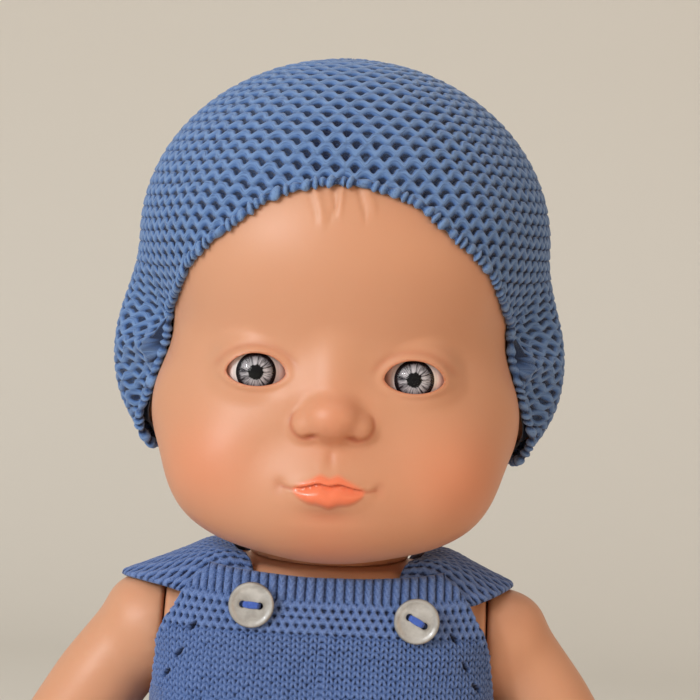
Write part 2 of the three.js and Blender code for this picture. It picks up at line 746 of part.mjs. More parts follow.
// The arm from shoulder to palm, grown by an offset
function armTube(offset) {
  const { armTop, elbow, wristAt, palmEnd } = armLine();
  const upper = UPPER_ARM_DIAMETER / 2;
  const wrist = WRIST_DIAMETER / 2;
  const stations = [
    { at: armTop, across: upper * 0.92, deep: upper * 0.92 },
    { at: armTop.clone().lerp(elbow, 0.4), across: upper * 0.98, deep: upper },
    { at: elbow, across: upper * 0.84, deep: upper * 0.88 },
    { at: elbow.clone().lerp(wristAt, 0.45), across: upper * 0.84, deep: upper * 0.84 },
    { at: wristAt, across: wrist, deep: wrist * 0.85 },
    { at: palmEnd, across: PALM_WIDTH / 2, deep: wrist * 0.62 },
  ];
  const grown = stations.map(({ at, across, deep }) => ({ at, across: across + offset, deep: deep + offset }));
  return limb(grown, palmSide, LIMB_SIDES, 2);
}

function makeArm() {
  const { centre, wristAt, palmEnd } = armLine();
  const tube = armTube(0);
  const root = turned(armRootProfile(0), centre, LEFT);
  const across = palmSide.clone().addScaledVector(palmWay, -palmSide.dot(palmWay)).normalize();
  const curl = new THREE.Vector3().crossVectors(palmWay, across).multiplyScalar(-1);
  if (curl.x > 0) curl.negate();
  const fingerRadius = FINGER_DIAMETER / 2;
  const fingers = fingerFanShares.map(([place, lengthShare, widthShare]) => {
    const length = FINGER_LENGTH * lengthShare;
    const base = palmEnd
      .clone()
      .addScaledVector(across, place * PALM_WIDTH)
      .addScaledVector(palmWay, -fingerRadius);
    const radius = fingerRadius * widthShare;
    const middle = base.clone().addScaledVector(palmWay, length * 0.55);
    middle.addScaledVector(across, place * length * 0.2);
    middle.addScaledVector(curl, length * 0.08);
    const tip = middle.clone().addScaledVector(palmWay, length * 0.38).addScaledVector(curl, length * 0.3);
    return limb(
      [
        { at: base, across: radius, deep: radius },
        { at: middle, across: radius * 0.95, deep: radius * 0.95 },
        { at: tip, across: radius * 0.75, deep: radius * 0.75 },
      ],
      across,
      FINGER_SIDES,
      2,
    );
  });
  const thumbBase = wristAt.clone().lerp(palmEnd, 0.3).addScaledVector(across, PALM_WIDTH * 0.33);
  const thumb = limb(
    [
      { at: thumbBase, across: fingerRadius * 1.25, deep: fingerRadius * 1.15 },
      {
        at: thumbBase.clone().addScaledVector(thumbWay, FINGER_LENGTH * 0.55),
        across: fingerRadius * 1.1,
        deep: fingerRadius,
      },
      {
        at: thumbBase.clone().addScaledVector(thumbWay, FINGER_LENGTH * 0.85).addScaledVector(palmWay, fingerRadius),
        across: fingerRadius * 0.85,
        deep: fingerRadius * 0.8,
      },
    ],
    across,
    FINGER_SIDES,
    2,
  );
  const inward = beyond(centre.clone().addScaledVector(LEFT, seamPlay), LEFT.clone().negate());
  const arm = join(cut(join(tube, root), inward), plug(armStemRadius, centre, LEFT), ...fingers, thumb);
  return arm;
}

// Leg line in the seated pose: a thigh that splays, a level calf and an upright foot
const thighWay = point(0.4, -0.9, -0.14).normalize();
const calfWay = point(0.3, -0.95, -0.12).normalize();
const footWay = point(0.1, -0.16, 0.98).normalize();
const soleSide = point(0.95, 0.28, -0.06).normalize();
const toeShares = [
  [-0.34, 1, 1],
  [-0.09, 0.95, 0.72],
  [0.12, 0.86, 0.66],
  [0.3, 0.75, 0.6],
  [0.45, 0.62, 0.55],
];
const rootSetShare = 0.36;
const hipRise = HIP_DIAMETER * 0.068;

function legLine() {
  const centre = hipCentre(1);
  const start = centre.clone().addScaledVector(hipAxis(1), hipRadius * rootSetShare);
  start.z -= hipRise;
  const knee = start.clone().addScaledVector(thighWay, THIGH_LENGTH);
  knee.z = Math.max(knee.z, THIGH_DIAMETER * 0.46);
  const ankle = knee.clone().addScaledVector(calfWay, CALF_LENGTH);
  const toes = ankle.clone().addScaledVector(footWay, FOOT_LENGTH);
  return { centre, start, knee, ankle, toes };
}

function legBody(offset) {
  const { centre, start, knee, ankle } = legLine();
  const thigh = THIGH_DIAMETER / 2 + offset;
  const shin = ANKLE_DIAMETER / 2 + offset;
  const tube = limb(
    [
      { at: start, across: thigh * 0.98, deep: thigh * 0.98 },
      { at: start.clone().lerp(knee, 0.42), across: thigh, deep: thigh * 0.98 },
      { at: knee, across: thigh * 0.8, deep: thigh * 0.8 },
      { at: knee.clone().lerp(ankle, 0.42), across: thigh * 0.82, deep: thigh * 0.78 },
      { at: ankle, across: shin, deep: shin },
    ],
    soleSide,
    LIMB_SIDES,
    2,
  );
  const radius = hipRadius + offset;
  const root = turned(
    [
      [0, 0],
      [radius * 0.98, 0],
      [radius, hipRadius * 0.12],
      [radius * 0.97, hipRadius * 0.32],
      [radius * 0.84, hipRadius * 0.62],
      [radius * 0.5, hipRadius * 0.88 + offset],
      [0, hipRadius * 0.98 + offset],
    ],
    centre,
    hipAxis(1),
  );
  return join(tube, root);
}

const hipInward = (clear) =>
  beyond(hipCentre(1).addScaledVector(hipAxis(1), clear), hipAxis(1).negate());

function makeLeg() {
  const { centre, ankle, toes } = legLine();
  const shin = ANKLE_DIAMETER / 2;
  const sole = new THREE.Vector3().crossVectors(soleSide, footWay).normalize();
  if (sole.y > 0) sole.negate();
  const heel = ankle.clone().addScaledVector(sole, shin * 0.25);
  const ballOfFoot = ankle.clone().lerp(toes, 0.66).addScaledVector(sole, shin * 0.45);
  const foot = limb(
    [
      { at: heel.clone().addScaledVector(footWay, -shin * 0.15), across: shin * 0.92, deep: shin * 1.02 },
      { at: heel.clone().lerp(ballOfFoot, 0.5), across: FOOT_WIDTH * 0.46, deep: shin * 0.86 },
      { at: ballOfFoot, across: FOOT_WIDTH / 2, deep: shin * 0.6 },
    ],
    soleSide,
    LIMB_SIDES,
    2,
  );
  const toeRadius = BIG_TOE_DIAMETER / 2;
  const toePieces = toeShares.map(([place, lengthShare, widthShare]) => {
    const radius = toeRadius * widthShare;
    const tip = ankle
      .clone()
      .addScaledVector(footWay, (FOOT_LENGTH - radius) * mix(0.62, 1, lengthShare))
      .addScaledVector(soleSide, place * FOOT_WIDTH)
      .addScaledVector(sole, shin * 0.42);
    const root = tip.clone().addScaledVector(footWay, -BIG_TOE_DIAMETER * 1.1);
    return limb(
      [
        { at: root, across: radius * 0.9, deep: radius * 0.9 },
        { at: tip.clone().lerp(root, 0.3), across: radius, deep: radius },
        { at: tip, across: radius * 0.75, deep: radius * 0.75 },
      ],
      soleSide,
      FINGER_SIDES,
      2,
    );
  });
  const body = cut(legBody(0), hipInward(seamPlay));
  const leg = join(body, foot, plug(legStemRadius, centre, hipAxis(1)), ...toePieces);
  return leg;
}

// A knitted leg over the thigh, split from the romper along the circle that the leg turns in
function makeRomperLeg() {
  const { start, knee } = legLine();
  const way = knee.clone().sub(start).normalize();
  const end = beyond(start.clone().addScaledVector(way, CUFF_REACH), way);
  const floor = beyond(point(0, 0, 0), UP.clone().negate());
  const shell = cut(legBody(CLEARANCE + KNIT_THICKNESS), legBody(CLEARANCE), hipInward(CLEARANCE), end, floor);
  const plugRoom = rod(hipRadius * 0.9, 0, CLEARANCE * 2, hipCentre(1), hipAxis(1));
  return mainBody(cut(shell, plugRoom));
}

// Romper: two shells over the torso that meet at the side seams
const bibLift = STRAP_THICKNESS + CLEARANCE;
const bibLiftFrom = SHOULDER_HEIGHT - shoulderRadius * 0.5;
const bibLiftTo = mix(SHOULDER_HEIGHT, BIB_TOP_HEIGHT, 0.35);
const liftAt = (z) => bibLift * THREE.MathUtils.smoothstep(z, bibLiftFrom, bibLiftTo);
const romperSide = (torsoShares[5][1] * TORSO_WIDTH) / 2 + KNIT_GAP + KNIT_THICKNESS;
const armholeFloor = SHOULDER_HEIGHT - shoulderRadius - KNIT_THICKNESS;

function mirroredOutline(rightHalf) {
  return [...rightHalf, ...rightHalf.map(([x, z]) => [-x, z]).reverse()];
}

// Room for the arm to swing past the knitting: radius and height as shares of the shoulder's radius
const armSwingShares = [
  [1, 0.07],
  [1.46, 0.39],
  [1.46, 1],
];

function armSwing(side) {
  const rings = armSwingShares.map(([r, h]) => [r * shoulderRadius + CLEARANCE * 2, h * shoulderRadius]);
  const profile = [[0, 0], [rings[0][0], 0], ...rings, [0, rings.at(-1)[1]]];
  return turned(profile, shoulderCentre(side), shoulderAxis(side));
}

function romperShell(lift) {
  const outer = torsoSkin((z) => KNIT_GAP + KNIT_THICKNESS + lift(z));
  const inner = torsoSkin((z) => KNIT_GAP + lift(z));
  const floor = beyond(point(0, 0, 0), UP.clone().negate());
  return cut(
    outer,
    inner,
    floor,
    neckColumn(KNIT_GAP, OVERRUN / 4),
    ...bosses(CLEARANCE * 2, OVERRUN / 4),
    ...[1, -1].flatMap((side) => [armSwing(side), beyond(hipCentre(side), hipAxis(side))]),
  );
}

function makeRomperFront() {
  const top = BIB_TOP_WIDTH / 2;
  const outline = mirroredOutline([
    [romperSide * 2, -CLEARANCE],
    [romperSide * 2, armholeFloor],
    [romperSide, armholeFloor],
    [romperSide * 1.01, mix(armholeFloor, BIB_TOP_HEIGHT, 0.32)],
    [romperSide * 0.975, mix(armholeFloor, BIB_TOP_HEIGHT, 0.52)],
    [romperSide * 0.88, mix(armholeFloor, BIB_TOP_HEIGHT, 0.74)],
    [romperSide * 0.8, mix(armholeFloor, BIB_TOP_HEIGHT, 0.89)],
    [top, BIB_TOP_HEIGHT],
  ]);
  return mainBody(romperShell(liftAt).intersect(panel(outline, -OVERRUN, SIDE_SEAM_SETBACK - seamPlay)));
}

function makeRomperBack() {
  const outline = mirroredOutline([
    [romperSide * 2, -CLEARANCE],
    [romperSide * 2, armholeFloor],
    [romperSide * 0.96, armholeFloor],
    [romperSide * 0.78, BACK_TOP_HEIGHT],
  ]);
  return mainBody(romperShell(() => 0).intersect(panel(outline, SIDE_SEAM_SETBACK + seamPlay, OVERRUN)));
}

// Straps: a knitted band over each shoulder that follows the torso and the top of the arm.
// The plan is seen from above, as shares of half the strap's outer span and half the torso's depth.
const strapPlanShares = [
  [0.3, -1.1],
  [0.36, -0.66],
  [0.47, -0.3],
  [0.47, 0.25],
  [0.36, 0.6],
  [0.3, 1.1],
  [0.66, 1.1],
  [0.69, 0.6],
  [0.78, 0.42],
  [0.93, 0.3],
  [1, 0.16],
  [1, -0.14],
  [0.93, -0.27],
  [0.78, -0.38],
  [0.69, -0.52],
  [0.67, -1.1],
];

function plan(outline, fromZ, toZ) {
  const shape = new THREE.Shape(outline.map(([x, y]) => new THREE.Vector2(x, y)));
  const prism = new THREE.ExtrudeGeometry(shape, { depth: toZ - fromZ, bevelEnabled: false });
  return solidOf(prism.translate(0, 0, fromZ));
}

function strapBed(offset) {
  return join(
    torsoSkin(() => offset),
    ...bosses(offset, 0).slice(0, 1),
    turned(armRootProfile(offset, -VINYL_WALL), shoulderCentre(1), LEFT),
    armTube(offset),
  );
}

function makeStrap() {
  const outline = strapPlanShares.map(([x, y]) => [(x * STRAP_OUTER_SPAN) / 2, (y * TORSO_DEPTH) / 2]);
  const front = plan(outline, BUTTON_HEIGHT - BUTTON_DIAMETER / 2, OVERRUN).intersect(beyond(point(0, 0, 0), AHEAD));
  const back = plan(outline, BACK_TOP_HEIGHT + CLEARANCE, OVERRUN);
  const band = cut(
    strapBed(CLEARANCE + STRAP_THICKNESS),
    strapBed(CLEARANCE),
    neckColumn(CLEARANCE, OVERRUN / 4),
    romperShellRoom(),
  );
  const behind = back.intersect(beyond(point(0, 0, 0), AHEAD.clone().negate()));
  const underWing = beyond(point(0, 0, SHOULDER_HEIGHT), UP.clone().negate()).intersect(
    beyond(shoulderCentre(1), LEFT),
  );
  return mainBody(cut(band.intersect(join(front, behind)), underWing));
}

// The space that the two romper shells and a running gap take up
function romperShellRoom() {
  const outer = torsoSkin((z) => KNIT_GAP + KNIT_THICKNESS + CLEARANCE + liftAt(z));
  const inner = torsoSkin((z) => KNIT_GAP - CLEARANCE + liftAt(z));
  const top = beyond(point(0, 0, BIB_TOP_HEIGHT + CLEARANCE), UP);
  return cut(outer, inner, top).intersect(beyond(point(0, -seamPlay, 0), AHEAD));
}

// Where the bib's front face lies at a place on it
function bibFrontAt(x, z) {
  const outer = torsoSkin((height) => KNIT_GAP + KNIT_THICKNESS + liftAt(height));
  const behindButton = panel(almond(point(x, 0, z), BUTTON_DIAMETER, BUTTON_DIAMETER), -OVERRUN, 0);
  return outer.intersect(behindButton).boundingBox().min[1];
}

function makeButton(place) {
  const radius = BUTTON_DIAMETER / 2;
  const half = BUTTON_THICKNESS / 2;
  const disc = turned(
    [
      [0, 0],
      [radius * 0.9, 0],
      [radius, half],
      [radius * 0.97, BUTTON_THICKNESS],
      [radius * 0.84, BUTTON_THICKNESS],
      [radius * 0.78, BUTTON_THICKNESS * 0.8],
      [0, BUTTON_THICKNESS * 0.78],
    ],
    place,
    AHEAD,
    BUTTON_SIDES,
  );
  const holes = [1, -1].map((way) =>
    rod(
      BUTTON_HOLE_DIAMETER / 2,
      -BUTTON_THICKNESS,
      BUTTON_THICKNESS * 2,
      place.clone().addScaledVector(LEFT, (way * BUTTON_HOLE_SPACING) / 2),
      AHEAD,
      HOLE_SIDES,
    ),
  );
  return cut(disc, ...holes);
}

function makeThread(place) {
  const half = BUTTON_HOLE_SPACING / 2;
  const radius = THREAD_DIAMETER / 2;
  const crest = BUTTON_THICKNESS * 0.78 + radius + CLEARANCE;
  const at = (x, out) => place.clone().add(point(x, -out, 0));
  const path = new THREE.CatmullRomCurve3([
    at(-half, radius),
    at(-half, crest * 0.7),
    at(-half * 0.6, crest),
    at(half * 0.6, crest),
    at(half, crest * 0.7),
    at(half, radius),
  ]);
  const round = new THREE.Shape().absarc(0, 0, radius, 0, FULL_TURN);
  return solidOf(
    new THREE.ExtrudeGeometry(round, {
      steps: HOLE_SIDES,
      curveSegments: THREAD_SIDES / 2,
      extrudePath: path,
    }),
  );
}

// Bonnet: a thick shell over the skull, open over the face and below the nape.
// The face edge as shares of half the head's width and the crown's rise, from the ear corner to the brow.
const faceEdgeShares = [
  [1.04, -0.6],
  [1.025, -0.2],
  [0.995, 0.04],
  [0.93, 0.19],
  [0.77, 0.365],
  [0.61, 0.475],
  [0.38, 0.575],
  [0.19, 0.62],
];
const browShare = 0.635;
const napeShares = [-0.205, -0.17];

function makeBonnet() {
  const outer = evenSkin(bonnetDistance, BONNET_GAP + BONNET_THICKNESS, BONNET_COLUMNS, BONNET_ROWS);
  const inner = evenSkin(bonnetDistance, BONNET_GAP, BONNET_COLUMNS, BONNET_ROWS);
  const rightHalf = faceEdgeShares.map(([x, z]) => [x * halfWidth, EYE_LINE_HEIGHT + z * CROWN_RISE]);
  const brow = [0, EYE_LINE_HEIGHT + browShare * CROWN_RISE];
  const outline = [...rightHalf, brow, ...rightHalf.map(([x, z]) => [-x, z]).reverse()];
  const face = panel(outline, -OVERRUN, HEAD_SETBACK * 2);
  const corner = point(0, 0, EYE_LINE_HEIGHT + napeShares[0] * CROWN_RISE);
  const nape = point(0, halfDepth, EYE_LINE_HEIGHT + napeShares[1] * CROWN_RISE);
  const down = new THREE.Vector3().crossVectors(LEFT, nape.sub(corner)).negate();
  return mainBody(cut(outer, inner, face, beyond(corner, down)));
}

// Assembly
const vinyl = { color: 0xd49a72, roughness: 0.45, metalness: 0 };
const knit = { color: 0x5378b5, roughness: 0.9, metalness: 0 };
const romperKnit = { color: 0x5a6fb0, roughness: 0.9, metalness: 0 };
const eyeWhite = { color: 0xc8b5ad, roughness: 0.15, metalness: 0 };
const irisPrint = { color: 0x6d7178, roughness: 0.3, metalness: 0 };
const clearFront = { color: 0xf4f4f4, roughness: 0.05, metalness: 0, transparent: true, opacity: 0.4 };
const shell = { color: 0xcfc8bd, roughness: 0.25, metalness: 0 };
const sewingThread = { color: 0x3f63b0, roughness: 0.7, metalness: 0 };

const doll = new THREE.Group();
function place(name, solid, look, side = 1) {
  const mesh = new THREE.Mesh(geometryOf(solid), new THREE.MeshStandardMaterial(look));
  mesh.name = name;
  mesh.scale.x = side;
  doll.add(mesh);
}

place("head", makeHead(), vinyl);
place("torso", makeTorso(), vinyl);
place("bonnet", makeBonnet(), knit);
place("romper_front", makeRomperFront(), romperKnit);
place("romper_back", makeRomperBack(), romperKnit);

// Each paired piece is modelled on the doll's left side, and the right one is its mirror image
const pairs = [
  ["eye_white", makeEyeWhite(), eyeWhite],
  ["eye_iris", makeIris(), irisPrint],
  ["eye_cornea", makeCornea(), clearFront],
  ["arm", makeArm(), vinyl],
  ["leg", makeLeg(), vinyl],
  ["romper_leg", makeRomperLeg(), romperKnit],
  ["strap", makeStrap(), romperKnit],
];
for (const [name, solid, look] of pairs) {
  place("left_" + name, solid, look);
  place("right_" + name, solid, look, -1);
}

// The buttons are sewn on by hand: each at its own height and with its holes at its own angle
function sewn(solid, place, turn) {
  const { x, y, z } = place;
  return solid.translate([-x, -y, -z]).rotate([0, turn, 0]).translate([x, y, z]);
}

const buttonSpots = [
  ["left", BUTTON_SPACING / 2 + BUTTON_PAIR_SHIFT, BUTTON_HEIGHT, LEFT_BUTTON_TURN],
  ["right", BUTTON_PAIR_SHIFT - BUTTON_SPACING / 2, BUTTON_HEIGHT + RIGHT_BUTTON_RISE, RIGHT_BUTTON_TURN],
];
for (const [side, x, z, turn] of buttonSpots) {
  const spot = point(x, bibFrontAt(x, z) - CLEARANCE, z);
  place(side + "_button", sewn(makeButton(spot), spot, turn), shell);
  place(side + "_button_thread", sewn(makeThread(spot), spot, turn), sewingThread);
}

export default doll;
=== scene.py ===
"""Seated baby doll in a knitted bonnet and romper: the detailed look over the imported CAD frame."""

import logging
import math
from collections.abc import Callable, Sequence
from dataclasses import dataclass, field, replace
from enum import Enum

import bmesh
import bpy
import numpy as np
from mathutils import Matrix, Vector


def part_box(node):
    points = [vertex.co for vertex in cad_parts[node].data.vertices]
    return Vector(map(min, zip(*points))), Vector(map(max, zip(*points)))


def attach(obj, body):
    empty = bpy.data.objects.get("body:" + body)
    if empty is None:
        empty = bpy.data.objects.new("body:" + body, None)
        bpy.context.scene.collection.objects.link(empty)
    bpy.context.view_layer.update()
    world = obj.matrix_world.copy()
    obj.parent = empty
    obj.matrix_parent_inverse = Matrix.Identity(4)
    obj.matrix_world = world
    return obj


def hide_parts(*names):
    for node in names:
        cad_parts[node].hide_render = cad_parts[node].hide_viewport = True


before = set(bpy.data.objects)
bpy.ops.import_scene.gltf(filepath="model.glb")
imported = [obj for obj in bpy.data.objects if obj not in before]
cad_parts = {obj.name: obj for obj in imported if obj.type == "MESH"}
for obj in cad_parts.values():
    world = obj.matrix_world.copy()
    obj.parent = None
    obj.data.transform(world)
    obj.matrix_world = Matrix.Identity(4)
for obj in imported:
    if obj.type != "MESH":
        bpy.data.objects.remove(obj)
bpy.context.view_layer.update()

logging.basicConfig(level=logging.INFO, format="%(name)s %(levelname)s %(message)s")
log = logging.getLogger("doll")

MM = 0.001
Array = np.ndarray


def smoothstep(low: float, high: float, values: Array) -> Array:
    """Ease from 0 at low to 1 at high.

    Args:
        low: Where the ramp starts.
        high: Where the ramp ends.
        values: Places on the ramp.

    Returns:
        The eased share for each value.
    """
    share = np.clip((values - low) / (high - low), 0.0, 1.0)
    return share * share * (3.0 - 2.0 * share)


def bell(distance: Array, width: float) -> Array:
    """Return a smooth hump that is 1 at distance 0 and dies off over width."""
    return np.exp(-((distance / width) ** 2))


@dataclass(frozen=True)
class Form:
    """An ellipsoid that melts into the head or is carved from it. All sizes are in millimetres."""

    centre: tuple[float, float, float]
    radii: tuple[float, float, float]
    blend: float

    def distance(self, p: Array) -> Array:
        """Return the signed distance of points p, of shape (n, 3), from the ellipsoid."""
        q = p - np.array(self.centre)
        radii = np.array(self.radii)
        near = np.linalg.norm(q / radii, axis=1)
        far = np.linalg.norm(q / radii**2, axis=1)
        return near * (near - 1.0) / np.maximum(far, 1e-9)


def melt(a: Array, b: Array, blend: float) -> Array:
    """Join two distances with a soft seam."""
    share = np.clip((b - a) / blend / 2 + 0.5, 0.0, 1.0)
    return b * (1 - share) + a * share - blend * share * (1 - share)


def carve(a: Array, b: Array, blend: float) -> Array:
    """Hollow distance a with the negative of distance b."""
    return -melt(-a, b, blend)


@dataclass(frozen=True)
class HeadSizes:
    """Sizes of the head in millimetres, measured from the line through the pupils."""

    eye_line: float = 176.0
    half_width: float = 53.0
    half_depth: float = 56.0
    setback: float = 5.0
    crown: float = 83.0
    chin: float = 49.0
    middle: float = 4.9
    eye_x: float = 20.7
    eye_radius: float = 10.6
    eye_front: float = 45.8
    opening_width: float = 15.6
    opening_height: float = 8.6
    lid: float = 1.5
    neck_radius: float = 22.4
    neck_setback: float = 3.0
    neck_drop: float = 49.5
    neck_tilt: float = math.radians(6.0)


class HeadShape:
    """The moulded head as soft forms that melt into each other, as in the CAD source."""

    def __init__(self, sizes: HeadSizes) -> None:
        self.sizes = sizes
        w, d, c = sizes.half_width, sizes.half_depth, sizes.chin
        self.eye = (sizes.eye_x, sizes.eye_radius - sizes.eye_front, 0.0)
        self.cranium = Form((0, sizes.setback, sizes.crown * 0.44), (w, d, sizes.crown * 0.56), 1.0)
        self.jaw = self.form(0, -0.21, -0.21, 0.944, 0.679, 0.733, 0.255)
        self.forehead = self.form(0, -0.48, 0.6, 0.72, 0.45, 0.53, 0.22)
        self.ear = self.form(0.965, 0.09, -0.04, 0.085, 0.16, 0.327, 0.06)
        self.ear_cover = self.form(0.84, 0.09, 0.1, 0.253, 0.42, 0.465, 0.172)
        cheek = self.form(0.443, -0.45, -0.494, 0.398, 0.393, 0.425, 0.132)
        self.added = [
            cheek,
            self.form(0, -0.68, -0.57, 0.3, 0.232, 0.225, 0.17),
            self.form(0, -0.6, -0.713, 0.507, 0.28, 0.3, 0.2),
            self.form(0, -0.77, -0.06, 0.1, 0.107, 0.24, 0.14),
            Form((0, -50.2, -11.2), (7.4, 6.6, 6.0), 3.4),
            Form((6.9, -48.2, -13.4), (4.1, 4.7, 4.0), 2.2),
            Form((0, sizes.neck_setback, -0.94 * c), (22.4, 22.4, 16.2), 0.09 * w),
        ]
        self.orbit = self.form(0, -1, 0.02, 0.2, 0.13, 0.15, 0.1)
        self.orbit = replace(self.orbit, centre=(sizes.eye_x, self.orbit.centre[1], self.orbit.centre[2]))
        reach = sizes.eye_radius + sizes.lid
        self.lids = Form(self.eye, (reach, reach, reach), sizes.lid * 2)
        self.lips = Form((0, -48.6, -30.2), (9.6, 3.4, 4.6), 3.0)

    def form(self, x: float, y: float, z: float, wide: float, deep: float, high: float, blend: float) -> Form:
        """Return a form from shares of half the head's width, half its depth and the chin's drop."""
        w, d, c = self.sizes.half_width, self.sizes.half_depth, self.sizes.chin
        return Form((x * w, y * d, z * c), (wide * w, deep * d, high * c), blend * w)

    def skull(self, p: Array, side: Form) -> Array:
        """Return the distance from the skull, jaw and forehead with a form on each side."""
        folded = p * np.array([1.0, 1.0, 1.0])
        folded[:, 0] = np.abs(folded[:, 0])
        made = self.cranium.distance(folded)
        for form in (self.jaw, self.forehead, side):
            made = melt(made, form.distance(folded), form.blend)
        return made

    def face(self, p: Array) -> Array:
        """Return the distance from the whole head with its face."""
        folded = p.copy()
        folded[:, 0] = np.abs(folded[:, 0])
        made = self.skull(p, self.ear)
        for form in self.added:
            made = melt(made, form.distance(folded), form.blend)
        made = carve(made, self.orbit.distance(folded), self.orbit.blend)
        for form in (self.lids, self.lips):
            made = melt(made, form.distance(folded), form.blend)
        return made

    def reach(self, distance: Callable[[Array], Array], ways: Array) -> Array:
        """Find how far a form reaches from the head's middle along unit directions.

        Args:
            distance: The form's signed distance.
            ways: Unit directions of shape (n, 3).

        Returns:
            The reach along each direction in millimetres.
        """
        middle = np.array([0.0, 0.0, self.sizes.middle])
        inner = np.full(len(ways), 24.0)
        stride = 3.0
        live = np.ones(len(ways), bool)
        for _ in range(24):
            ahead = middle + ways[live] * (inner[live] + stride)[:, None]
            inside = distance(ahead) < 0
            index = np.flatnonzero(live)
            inner[index[inside]] += stride
            live[index[~inside]] = False
            if not live.any():
                break
        outer = inner + stride
        for _ in range(11):
            half = (inner + outer) / 2
            inside = distance(middle + ways * half[:, None]) < 0
            inner = np.where(inside, half, inner)
            outer = np.where(inside, outer, half)
        return inner

    def points(self, distance: Callable[[Array], Array], ways: Array, offset: float | Array = 0.0) -> Array:
        """Return points on a form of the head, pushed out along the directions, in the row frame in metres."""
        reach = self.reach(distance, ways) + offset
        middle = np.array([0.0, 0.0, self.sizes.middle + self.sizes.eye_line])
        return (middle + ways * reach[:, None]) * MM


def directions(latitude: Array, longitude: Array) -> Array:
    """Return unit directions. Longitude 0 looks along -Y, and +X lies at a quarter turn."""
    return np.stack(
        [
            np.sin(longitude) * np.cos(latitude),
            -np.cos(longitude) * np.cos(latitude),
            np.sin(latitude),
        ],
        axis=1,
    )


class Meshes:
    """Small helpers that make and finish mesh objects."""

    @staticmethod
    def link(name: str, mesh: bpy.types.Mesh) -> bpy.types.Object:
        """Put a mesh in the scene as an object at the origin."""
        made = bpy.data.objects.new(name, mesh)
        bpy.context.scene.collection.objects.link(made)
        return made

    @staticmethod
    def grid(name: str, points: Array, closed: bool, caps: tuple[bool, bool] = (False, False)) -> bpy.types.Object:
        """Make a surface from a grid of points.

        Args:
            name: The object's name.
            points: Points of shape (rows, columns, 3).
            closed: Whether each row closes on itself.
            caps: Whether the first and the last row are closed with a face fan.

        Returns:
            The new object.
        """
        rows, columns = points.shape[:2]
        faces = []
        last = columns if closed else columns - 1
        index = np.arange(rows * columns).reshape(rows, columns)
        right = np.roll(index, -1, axis=1)
        quads = np.stack([index[:-1, :last], right[:-1, :last], right[1:, :last], index[1:, :last]], axis=-1)
        faces = quads.reshape(-1, 4).tolist()
        verts = points.reshape(-1, 3)
        for use, row, flip in ((caps[0], 0, True), (caps[1], rows - 1, False)):
            if use:
                centre = len(verts)
                verts = np.vstack([verts, points[row].mean(axis=0)])
                ring = index[row].tolist()
                pairs = zip(ring, ring[1:] + ring[:1])
                faces += [[b, a, centre] if flip else [a, b, centre] for a, b in pairs]
        mesh = bpy.data.meshes.new(name)
        mesh.from_pydata(verts.tolist(), [], faces)
        mesh.update()
        return Meshes.link(name, mesh)

    @staticmethod
    def paint(obj: bpy.types.Object, name: str, values: Array) -> None:
        """Store one number per vertex as an attribute."""
        attribute = obj.data.attributes.new(name, "FLOAT", "POINT")
        attribute.data.foreach_set("value", np.asarray(values, np.float32))

    @staticmethod
    def trace(obj: bpy.types.Object, along: Array, across: Array) -> None:
        """Store where each vertex lies along and across its yarn, in stitches and rows."""
        attribute = obj.data.attributes.new("thread", "FLOAT_VECTOR", "POINT")
        places = np.stack([along.ravel(), across.ravel(), np.zeros(along.size)], axis=1)
        attribute.data.foreach_set("vector", places.astype(np.float32).ravel())

    @staticmethod
    def cull(obj: bpy.types.Object, gone: Array) -> None:
        """Remove the faces that are marked as gone, with what they leave loose."""
        bm = bmesh.new()
        bm.from_mesh(obj.data)
        faces = [face for face, drop in zip(bm.faces, gone) if drop]
        bmesh.ops.delete(bm, geom=faces, context="FACES")
        bm.to_mesh(obj.data)
        bm.free()

    @staticmethod
    def smooth(obj: bpy.types.Object) -> None:
        """Shade every face smooth."""
        obj.data.polygons.foreach_set("use_smooth", np.ones(len(obj.data.polygons), bool))

    @staticmethod
    def outward(obj: bpy.types.Object) -> None:
        """Turn every face outwards."""
        bm = bmesh.new()
        bm.from_mesh(obj.data)
        bmesh.ops.recalc_face_normals(bm, faces=bm.faces)
        bm.to_mesh(obj.data)
        bm.free()

    @staticmethod
    def coordinates(obj: bpy.types.Object) -> Array:
        """Return the vertex coordinates in metres."""
        flat = np.zeros(len(obj.data.vertices) * 3, np.float32)
        obj.data.vertices.foreach_get("co", flat)
        return flat.reshape(-1, 3).astype(float)

    @staticmethod
    def move(obj: bpy.types.Object, points: Array) -> None:
        """Set the vertex coordinates in metres."""
        obj.data.vertices.foreach_set("co", np.asarray(points, np.float32).ravel())
        obj.data.update()

    @staticmethod
    def apply(obj: bpy.types.Object) -> None:
        """Apply every modifier of an object."""
        bpy.ops.object.select_all(action="DESELECT")
        bpy.context.view_layer.objects.active = obj
        obj.select_set(True)
        for modifier in list(obj.modifiers):
            bpy.ops.object.modifier_apply(modifier=modifier.name)

    @staticmethod
    def drop(obj: bpy.types.Object) -> None:
        """Remove a helper object from the scene."""
        bpy.data.objects.remove(obj, do_unlink=True)


